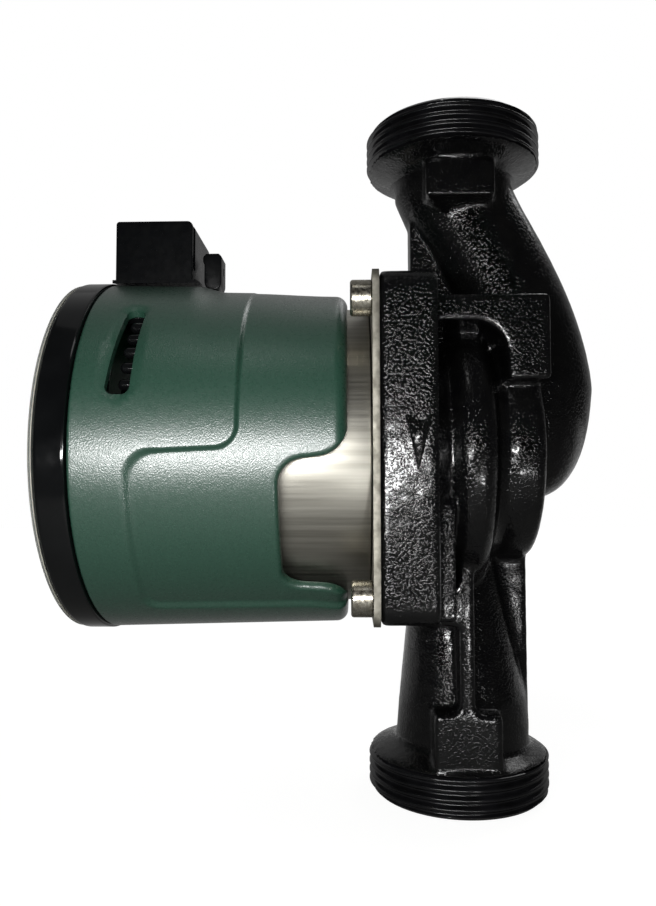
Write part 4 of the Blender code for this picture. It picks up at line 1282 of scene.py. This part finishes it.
@dataclass
class Motor:
    """The drawn can, and the clamp plate with its four cap screws."""

    can_x: Pair = (-72.0, -24.0)
    can_r: float = 39.6
    can_wall: float = 1.0
    can_roll: float = 2.2
    can_hole_r: float = 12.3
    plate_x: Pair = (-23.7, -22.1)
    plate_half: float = 41.0
    plate_edge_r: float = 3.0
    mouth_r: float = 33.6
    screw_half: float = 35.0
    head_x: Pair = (-28.8, -23.8)
    head_r: float = 4.25
    head_roll: float = 0.7
    shank_r: float = 2.5
    shank_end_x: float = -11.2
    plain_shank: float = 4.0
    pitch: float = 0.8
    thread_depth: float = 0.4
    socket_r: float = 2.35
    socket_depth: float = 2.4

    def build(self) -> None:
        """Builds and dresses the can, the plate and the screws."""
        self._can()
        self._plate()
        self._screws()

    def _can(self) -> None:
        """The can: a drawn cup with a rolled front corner and a turned-over rim."""
        (front, back), radius, wall = self.can_x, self.can_r, self.can_wall
        corner = rolled_edge(front, radius, self.can_roll, 8)
        rim = [(back - 0.35, radius), (back - 0.1, radius - 0.1), (back, radius - 0.35)]
        profile = [(front, self.can_hole_r)] + corner + [(front + 12, radius), (front + 30, radius)] + rim
        profile += [(back, radius - wall), (front + wall, radius - wall), (front + wall, self.can_hole_r)]
        can = lathe("motor_can_tube", profile, steps=256)
        hand_over(can, DRAWN_STEEL, Body.PUMP, Slot.STEEL, "motor_can")

    def _plate(self) -> None:
        """The clamp plate: a square sheet with a round mouth and screw holes."""
        low, high = self.plate_x
        square = [(u, v, self.plate_edge_r) for u, v in four_corners(self.plate_half)]
        plate = prism("clamp_plate_sheet", rounded(square, 10), low, high)
        holes = [lathe("mouth", rod(low - 2, high + 2, self.mouth_r), steps=120)]
        clearance = rod(low - 2, high + 2, self.shank_r + 0.3)
        holes += [lathe("clearance", clearance, centre=corner, steps=40)
                  for corner in sorted(four_corners(self.screw_half))]
        combine(plate, holes, Join.DIFFERENCE)
        bevel(plate, 0.22, 2)
        hand_over(plate, SHEET_STEEL, Body.PUMP, Slot.STEEL, "clamp_plate")

    def _screw(self) -> bpy.types.Object:
        """Makes one cap screw on the X axis: rolled head, hexagon socket and threaded shank.

        Returns:
            The screw.
        """
        (low, high), radius, shank = self.head_x, self.head_r, self.shank_r
        start, floor = high + self.plain_shank, low + self.socket_depth
        profile = [(low, 0)] + rolled_edge(low, radius, self.head_roll, 6)
        profile += [(high - 0.2, radius), (high, radius - 0.2), (high, shank), (start, shank)]
        while start + self.pitch < self.shank_end_x - 0.5:
            profile += [(start + self.pitch * 0.5, shank - self.thread_depth), (start + self.pitch, shank)]
            start += self.pitch
        profile += [(self.shank_end_x, shank - 0.5), (self.shank_end_x, 0)]
        screw = lathe("cap_screw", profile, steps=72)
        hexagon = [(low - 1, 0), (low - 1, self.socket_r), (floor, self.socket_r), (floor + 0.8, 0.6),
                   (floor + 0.9, 0)]
        combine(screw, [lathe("socket", hexagon, steps=6)], Join.DIFFERENCE)
        soften(screw, 38.0)
        return screw

    def _screws(self) -> None:
        """Sets a screw in each corner with a geometry tree."""
        one = self._screw()
        tree, inlet, known = new_tree("Screws in corners", {"Spacing": "Float"})
        wide = inlet["Spacing"]
        grid = add_node(tree, "GeometryNodeMeshGrid", {"Size X": wide, "Size Y": wide},
                        {"Vertices X": 2, "Vertices Y": 2})
        upright = add_node(tree, "GeometryNodeTransform", {"Geometry": grid.outputs[0]},
                           {"Rotation": (0, math.pi / 2, 0)})
        placed = add_node(tree, "GeometryNodeInstanceOnPoints",
                          {"Points": upright.outputs[0], "Instance": inlet["Geometry"]})
        dress_and_end(tree, placed.outputs[0], ZINC_PLATE)
        one.name = "flange_screws"
        apply_tree(one, tree, {known["Spacing"]: self.screw_half * 2 * MM})
        soften(one, 38.0)
        names = [f"flange_screw_{side.value}_{end}" for side in Side for end in ("top", "foot")]
        hand_over(one, ZINC_PLATE, Body.PUMP, Slot.ZINC, *names)


# Front of the head


@dataclass
class Front:
    """The gloss ring, the lens over it, the button and the row of light windows."""

    ring_x: Pair = (-99.0, -91.8)
    ring_r: float = 47.0
    ring_roll: float = 1.0
    spigot_x: float = -88.5
    spigot_r: float = 43.9
    spigot_wall: float = 1.8
    wall_x: float = -97.0
    hole_r: float = 7.2
    lens_x: Pair = (-101.0, -99.3)
    button_x: float = -101.5
    button_r: float = 6.8
    button_lip: float = 1.6
    button_dish: float = 0.45
    stem_x: float = -94.2
    stem_r: float = 1.6
    window_ring_r: float = 19.0
    window_r: float = 1.5
    windows: int = 5
    window_pitch: float = 28.5

    def build(self) -> None:
        """Builds and dresses the ring, the lens with its edges, and the button."""
        self._ring()
        self._lens()
        self._button()

    def _ring(self) -> None:
        """The moulded ring and front wall, with its row of window holes."""
        (front, back), radius, inside = self.ring_x, self.ring_r, self.spigot_r - self.spigot_wall
        profile = [(front, self.hole_r)] + rolled_edge(front, radius, self.ring_roll, 7)
        profile += [(front + 1.2, radius), (back - 0.7, radius), (back - 0.5, radius)]
        profile += [(back - 0.15, radius - 0.12), (back, radius - 0.5)]
        profile += [(back, self.spigot_r), (self.spigot_x, self.spigot_r), (self.spigot_x, inside)]
        profile += [(self.wall_x, inside), (self.wall_x, self.hole_r)]
        ring = lathe("front_ring", profile, steps=256)
        hole = rod(front - 1, self.wall_x + 1, self.window_r + 0.3)
        windows = [lathe("window", hole, centre=centre, steps=36) for centre in self._window_centres()]
        combine(ring, windows, Join.DIFFERENCE)
        soften(ring, 35.0)
        hand_over(ring, GLOSS_MOULDING, Body.PUMP, Slot.GLOSS, "front_panel")

    def _window_centres(self) -> list[Pair]:
        """Sets the windows on an arc over the button.

        Returns:
            Their centres.
        """
        half = (self.windows - 1) / 2
        turns = [math.radians(180 + self.window_pitch * (k - half)) for k in range(self.windows)]
        return [(self.window_ring_r * math.sin(a), -self.window_ring_r * math.cos(a)) for a in turns]

    def _lens(self) -> None:
        """The clear lens: domed a little, with a rounded rim, and two pale rings on the rim that are painted
        reflection.
        """
        (front, back), outer, hole = self.lens_x, self.ring_r - 0.5, self.hole_r
        face = [(front + 0.5 * (1 - math.cos(math.pi * t)) / 2, hole + 0.1 + (outer - 1.2 - hole) * t)
                for t in np.linspace(0, 1, 10)]
        rim = [(front + 0.75, outer - 0.5), (front + 1.1, outer), (back, outer)]
        lens = lathe("front_lens_disc", face + rim + [(back, hole + 0.1)], steps=256)
        hand_over(lens, CLEAR_MOULDING, Body.PUMP, Slot.CLEAR, "front_lens")
        # The two pale rings on the rim are painted reflection: they stand in for the room's light caught on
        # the lens's edges
        proud, low, start, end = outer + 0.05, outer - 0.2, back - 0.16, back + 0.05
        bevelled = [(front + 0.72, outer - 0.58), (front + 1.05, proud), (front + 1.2, low),
                    (front + 0.9, outer - 0.7)]
        behind = [(start, low), (start, proud), (end, proud), (end, low)]
        edges = [lathe("edge", ring, steps=256) for ring in (bevelled, behind)]
        hand_over(gather("lens_rim_reflections", edges), LENS_RIM_REFLECTION, Body.PUMP, Slot.CLEAR)

    def _button(self) -> None:
        """The button: a dished cap, a retaining lip and a stem to its switch."""
        front, radius, lip_x = self.button_x, self.button_r, self.wall_x + 0.3
        lip_end, lip_r = lip_x + 1.0, radius + self.button_lip
        profile = [(front + self.button_dish * math.cos(math.pi / 2 * t), (radius - 0.8) * t)
                   for t in np.linspace(0, 1, 9)]
        profile += [(front + 0.1, radius - 0.35), (front + 0.5, radius), (lip_x, radius), (lip_x, lip_r)]
        profile += [(lip_end, lip_r), (lip_end, self.stem_r), (self.stem_x, self.stem_r), (self.stem_x, 0)]
        button = lathe("mode_button_cap", profile, steps=128)
        hand_over(button, SATIN_MOULDING, Body.BUTTON, Slot.BLACK, "mode_button")


# Power connector


@dataclass
class Connector:
    """The socket on top of the housing and its latch."""

    x: Pair = (-92.2, -71.3)
    y: Pair = (-10.5, 14.0)
    top: float = 63.1
    lip_rise: float = 0.9
    saddle_r: float = 47.2
    mouth_z: Pair = (50.1, 61.3)
    mouth_y: float = -5.5
    groove_y: Pair = (-9.6, -6.7)
    latch_x: float = -67.0
    latch_z: float = 48.2327
    latch_half: float = 3.6
    latch_top: float = 56.23
    latch_r: float = 2.4

    def build(self) -> None:
        """Builds and dresses the socket and its latch."""
        self._socket()
        self._latch()

    def _socket(self) -> None:
        """The socket: a rounded box on a lip that sits on the round of the housing."""
        (x0, x1), (y0, y1), (sill, lintel) = self.x, self.y, self.mouth_z
        low, lip_r = self.saddle_r - 5, self.saddle_r + self.lip_rise
        body = [(x0, low, 0), (x1, low, 0), (x1, self.top, 1.5), (x0, self.top, 0.9)]
        socket = prism("connector_body", rounded(body, 6), y0, y1, Axis.Y)
        bevel(socket, 0.35, 3)
        lip = block("lip", (x0 - 0.6, y0 - 0.7, low), (x1 + 0.8, y1 + 0.7, sill))
        combine(lip, [lathe("lip_round", rod(x0 - 3, x1 + 3, lip_r), steps=180)], Join.INTERSECT)
        combine(socket, [lip], Join.UNION)
        mouth = [(x0 + 2, sill, 1), (x1 - 2, sill, 1), (x1 - 2, lintel, 3), (x0 + 2, lintel, 3)]
        near, far = self.groove_y
        cutters = [lathe("saddle", rod(x0 - 4, x1 + 4, self.saddle_r), steps=180),
                   prism("mouth", rounded(mouth), self.mouth_y, y1 + 4, Axis.Y),
                   block("groove", (x1 - 0.9, near, sill), (x1 + 2, far, self.top + 2))]
        combine(socket, cutters, Join.DIFFERENCE)
        soften(socket, 35.0)
        hand_over(socket, SATIN_MOULDING, Body.PUMP, Slot.BLACK, "connector_socket")

    def _latch(self) -> None:
        """The latch: a rounded finger with a hook at its tip and a small slot in its back."""
        x, z, r, top = self.latch_x, self.latch_z, self.latch_r, self.latch_top
        foot = [(x + r * math.cos(a), z + r * math.sin(a)) for a in np.linspace(math.pi, 2 * math.pi, 13)]
        front, back, hook = x - r, x + r, x - r - 0.4
        tip = [(back, top - 0.8), (back - 0.8, top), (front + 0.4, top), (hook, top - 1.0), (hook, top - 2.4),
               (front, top - 3.0)]
        latch = prism("latch_finger", foot + tip, -self.latch_half, self.latch_half, Axis.Y)
        bevel(latch, 0.3, 3)
        slot = block("slot", (back - 0.8, -0.5, z + 2.4), (back + 1, 0.5, z + 4.6))
        combine(latch, [slot], Join.DIFFERENCE)
        soften(latch, 35.0)
        hand_over(latch, SATIN_MOULDING, Body.LATCH, Slot.BLACK, "connector_latch")


# Vents


@dataclass
class Vent:
    """A grille behind a vent slot: a frame on the round of the housing and a row of rounded ribs."""

    side: Side
    frame_x: Pair = (-85.4, -76.4)
    frame_r: Pair = (41.8, 43.6)
    frame_turn: Pair = (11.5, 50.0)
    open_x: Pair = (-84.3, -77.6)
    open_turn: Pair = (13.8, 47.6)
    rib_x: Pair = (-81.9, -77.2)
    rib_r: float = 1.3
    rib_ring_r: float = 42.5
    rib_turn: Pair = (19.4, 43.4)
    ribs: int = 5

    def build(self) -> None:
        """Builds and dresses the frame and the ribs."""
        (x0, x1), (inner, outer) = self.frame_x, self.frame_r
        band = [(x0, inner), (x1, inner), (x1, outer), (x0, outer)]
        frame_band = lathe(f"vent_frame_{self.side.value}", band, steps=180)
        combine(frame_band, [self._wedge(self.frame_x, self.frame_turn)], Join.INTERSECT)
        combine(frame_band, [self._wedge(self.open_x, self.open_turn)], Join.DIFFERENCE)
        bevel(frame_band, 0.2, 2)
        hand_over(frame_band, GLOSS_MOULDING, Body.PUMP, Slot.BLACK, f"vent_grille_{self.side.value}")
        self._ribs()

    def _turn(self, degrees: float) -> float:
        """The same angle on this side, in radians."""
        return math.radians(degrees if self.side is Side.NEAR else 180 - degrees)

    def _wedge(self, along: Pair, turn: Pair) -> bpy.types.Object:
        """A slice about the X axis between two angles."""
        rim, reach = [self._turn(a) for a in np.linspace(*turn, 6)], 60.0
        return prism("wedge", [(0, 0)] + [(-reach * math.cos(a), reach * math.sin(a)) for a in rim], *along)

    def _ribs(self) -> None:
        """Sets the ribs on an arc about the X axis with a geometry tree."""
        low, high = self.rib_x
        profile = rolled_edge(low, self.rib_r, self.rib_r, 6) + [(high, self.rib_r), (high, 0)]
        ribs = lathe(f"vent_ribs_{self.side.value}", profile, steps=24)
        tree, inlet, known = new_tree(
            "Ribs on an arc", {"Count": "Int", "Radius": "Float", "First": "Float", "Sweep": "Float"})
        arc = add_node(tree, "GeometryNodeCurveArc", {
            "Resolution": inlet["Count"], "Radius": inlet["Radius"],
            "Start Angle": inlet["First"], "Sweep Angle": inlet["Sweep"]})
        upright = Matrix(((0, 0, -1), (-1, 0, 0), (0, 1, 0))).to_euler()
        turned = add_node(tree, "GeometryNodeTransform", {"Geometry": arc.outputs["Curve"]},
                          {"Rotation": upright})
        placed = add_node(tree, "GeometryNodeInstanceOnPoints",
                          {"Points": turned.outputs[0], "Instance": inlet["Geometry"]})
        dress_and_end(tree, placed.outputs[0], GLOSS_MOULDING)
        first, last = (self._turn(a) for a in self.rib_turn)
        apply_tree(ribs, tree, {known["Count"]: self.ribs, known["Radius"]: self.rib_ring_r * MM,
                                known["First"]: first, known["Sweep"]: last - first})
        soften(ribs, 40.0)
        hand_over(ribs, GLOSS_MOULDING, Body.PUMP, Slot.BLACK)


# Inside and studio

INSIDE: dict[str, Finish] = {
    "wear_ring": PRESSED_STEEL, "casing_seal_ring": SEAL_RUBBER, "bearing_plate": PRESSED_STEEL,
    "rotor_can": PRESSED_STEEL, "rear_bush": CARBON_GRAPHITE, "front_bush": CARBON_GRAPHITE,
    "shaft": GROUND_CERAMIC, "thrust_washer": GROUND_CERAMIC, "rotor_core": PRESSED_STEEL,
    "impeller": GLASS_FILLED, "stator_core": LAMINATION, "light_guide": CLEAR_MOULDING,
    "display_board": SOLDER_MASK, "heat_spreader": PLAIN_ALUMINIUM, "control_board": SOLDER_MASK,
    "board_capacitor": SATIN_MOULDING, "board_choke": PRESSED_FERRITE, "power_module": GROUND_CERAMIC,
}
INSIDE.update({f"connector_pin_{k}": TINNED_BRASS for k in (1, 2, 3)})
INSIDE.update({f"stator_coil_{k}": ENAMEL_COPPER for k in range(1, 7)})


def dress_inside() -> None:
    """Gives the nodes that stay their real materials."""
    for name, finish in INSIDE.items():
        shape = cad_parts[name].data
        shape.materials.clear()
        shape.materials.append(KIT.get(finish))
        LOG.info("%s keeps its shape, in %s", name, finish.name)


@dataclass(frozen=True)
class Lamp:
    """A rectangular light: its place and aim in metres, its width and height, and its power in watts."""

    name: str
    spot: Triple
    aim: Triple
    size: Pair
    watts: float


LAMPS = (
    # A wide low pair beside the camera gives the sharp glints
    Lamp("Lamp left of the camera", (-0.095, -0.212, -0.009), (-0.06, 0.0, -0.008), (0.09, 0.014), 0.26),
    Lamp("Lamp beside the camera", (-0.025, -0.212, 0.002), (-0.01, 0.0, 0.003), (0.05, 0.014), 0.125),
    # A small one near the floor picks out the outlet's pad, rib and web
    Lamp("Lamp low in front", (0.045, -0.212, -0.078), (0.012, 0.0, -0.072), (0.03, 0.016), 0.045),
    # Soft light from above and behind
    Lamp("Lamp over the camera", (-0.1, -0.25, 0.5), (-0.03, 0.0, 0.0), (0.12, 0.12), 0.06),
    Lamp("Softbox above", (-0.1, 0.25, 0.9), (0.0, 0.0, 0.0), (0.9, 0.9), 0.3),
    Lamp("Softbox behind", (0.4, 0.55, 0.85), (0.0, 0.0, 0.0), (0.6, 0.6), 2.2),
)


@dataclass
class Studio:
    """Camera at the photograph's place, soft lights, pale floor and white surroundings."""

    lens_mm: float = 30.19
    sensor_mm: float = 36.0
    clip_start: float = 0.005
    spot: Triple = (-0.02883, -0.21159, -0.01072)
    right: Triple = (0.99956, 0.02955, -0.00208)
    upward: Triple = (0.00363, -0.05257, 0.99861)
    back: Triple = (0.02940, -0.99818, -0.05266)
    floor_z: float = -0.0902
    floor_half: float = 1.5

    def build(self) -> None:
        """Makes the camera, the floor, the world and the lights."""
        self._camera()
        self._floor()
        self._world()
        for lamp in LAMPS:
            self._light(lamp)

    def _camera(self) -> None:
        """A camera with the photograph's place, direction and lens."""
        data = bpy.data.cameras.new("Camera")
        data.lens = self.lens_mm
        data.sensor_width = self.sensor_mm
        data.clip_start = self.clip_start
        camera = bpy.data.objects.new("Camera", data)
        columns = [Vector(c) for c in (self.right, self.upward, self.back, self.spot)]
        camera.matrix_world = Matrix([[c[i] for c in columns] for i in range(3)] + [[0, 0, 0, 1]])
        bpy.context.scene.collection.objects.link(camera)
        bpy.context.scene.camera = camera

    @staticmethod
    def _light(lamp: Lamp) -> None:
        """Adds one lamp, turned towards its aim.

        Args:
            lamp: what it is.
        """
        data = bpy.data.lights.new(lamp.name, "AREA")
        data.shape = "RECTANGLE"
        data.size, data.size_y = lamp.size
        data.energy = lamp.watts
        made = bpy.data.objects.new(lamp.name, data)
        made.location = lamp.spot
        made.rotation_euler = (Vector(lamp.aim) - Vector(lamp.spot)).to_track_quat("-Z", "Y").to_euler()
        bpy.context.scene.collection.objects.link(made)

    def _floor(self) -> None:
        """A pale floor under the outlet that shades but looks near white."""
        half, z = self.floor_half / MM, self.floor_z / MM
        corners = np.array([(-half, -half, z), (half, -half, z), (half, half, z), (-half, half, z)])
        floor = new_object("floor", corners, [(0, 1, 2, 3)])
        floor.data.materials.append(self._floor_finish())

    @staticmethod
    def _floor_finish() -> bpy.types.Material:
        """Makes the floor pale and matt, and near white to the camera alone.

        Returns:
            The floor's material.
        """
        material = KIT.get(FLOOR)
        tree = material.node_tree
        shader = tree.nodes["Principled BSDF"]
        shader.inputs["Emission Color"].default_value = linear("#ffffff")
        path = add_node(tree, "ShaderNodeLightPath").outputs
        place = add_node(tree, "ShaderNodeTexCoord").outputs["Object"]
        away = add_node(tree, "ShaderNodeVectorMath", {0: place}, operation="LENGTH").outputs["Value"]
        white = add_node(tree, "ShaderNodeMapRange", {"Value": away}, span(0.12, 0.5, 0.92, 1.0)).outputs[0]
        bounced = {0: path["Is Glossy Ray"], 1: path["Is Transmission Ray"]}
        mirrored = add_node(tree, "ShaderNodeMath", bounced, operation="MAXIMUM").outputs[0]
        depth = add_node(tree, "ShaderNodeSeparateXYZ", {0: place}).outputs["Y"]
        behind = add_node(tree, "ShaderNodeMapRange", {"Value": depth}, span(0.02, 0.2, 0.02, 0.5)).outputs[0]
        faint = add_node(tree, "ShaderNodeMath", {0: mirrored, 1: behind}, operation="MULTIPLY").outputs[0]
        glow = add_node(tree, "ShaderNodeMath", {0: path["Is Camera Ray"], 1: white, 2: faint},
                        operation="MULTIPLY_ADD")
        tree.links.new(glow.outputs[0], shader.inputs["Emission Strength"])
        return material

    @staticmethod
    def _world() -> None:
        """White to the camera, and otherwise pale behind the pump and dim in front, as a dark room is."""
        world = bpy.data.worlds.new("Studio")
        bpy.context.scene.world = world
        world.use_nodes = True
        tree = world.node_tree
        background = tree.nodes["Background"]
        background.inputs["Color"].default_value = linear("#ffffff")
        path = add_node(tree, "ShaderNodeLightPath").outputs
        heading = add_node(tree, "ShaderNodeTexCoord").outputs["Generated"]
        depth = add_node(tree, "ShaderNodeSeparateXYZ", {0: heading}).outputs["Y"]
        room = add_node(tree, "ShaderNodeMapRange", {"Value": depth}, span(0.2, 0.8, 0.03, 0.25)).outputs[0]
        bounced = {0: path["Is Glossy Ray"], 1: path["Is Transmission Ray"]}
        mirrored = add_node(tree, "ShaderNodeMath", bounced, operation="MAXIMUM").outputs[0]
        soft = add_node(tree, "ShaderNodeMapRange", {"Value": depth}, span(-0.1, 0.6, 0.04, 0.3)).outputs[0]
        level = add_node(tree, "ShaderNodeMix", {0: mirrored, 2: soft, 3: room}).outputs[0]
        white = add_node(tree, "ShaderNodeMix", {0: path["Is Camera Ray"], 2: level}, {3: 1.0})
        tree.links.new(white.outputs[0], background.inputs["Strength"])


def main() -> None:
    logging.basicConfig(level=logging.INFO, format="%(name)s: %(message)s")
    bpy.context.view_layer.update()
    Studio().build()
    assemblies = [Casing(), ThreadedEnd("inlet_thread", 1), ThreadedEnd("outlet_thread", -1), Housing(),
                  Motor(), Front(), Connector(), Vent(Side.NEAR), Vent(Side.FAR)]
    for assembly in assemblies:
        assembly.build()
    dress_inside()
    bpy.context.scene.view_settings.view_transform = "Standard"


if __name__ == "__main__":
    main()
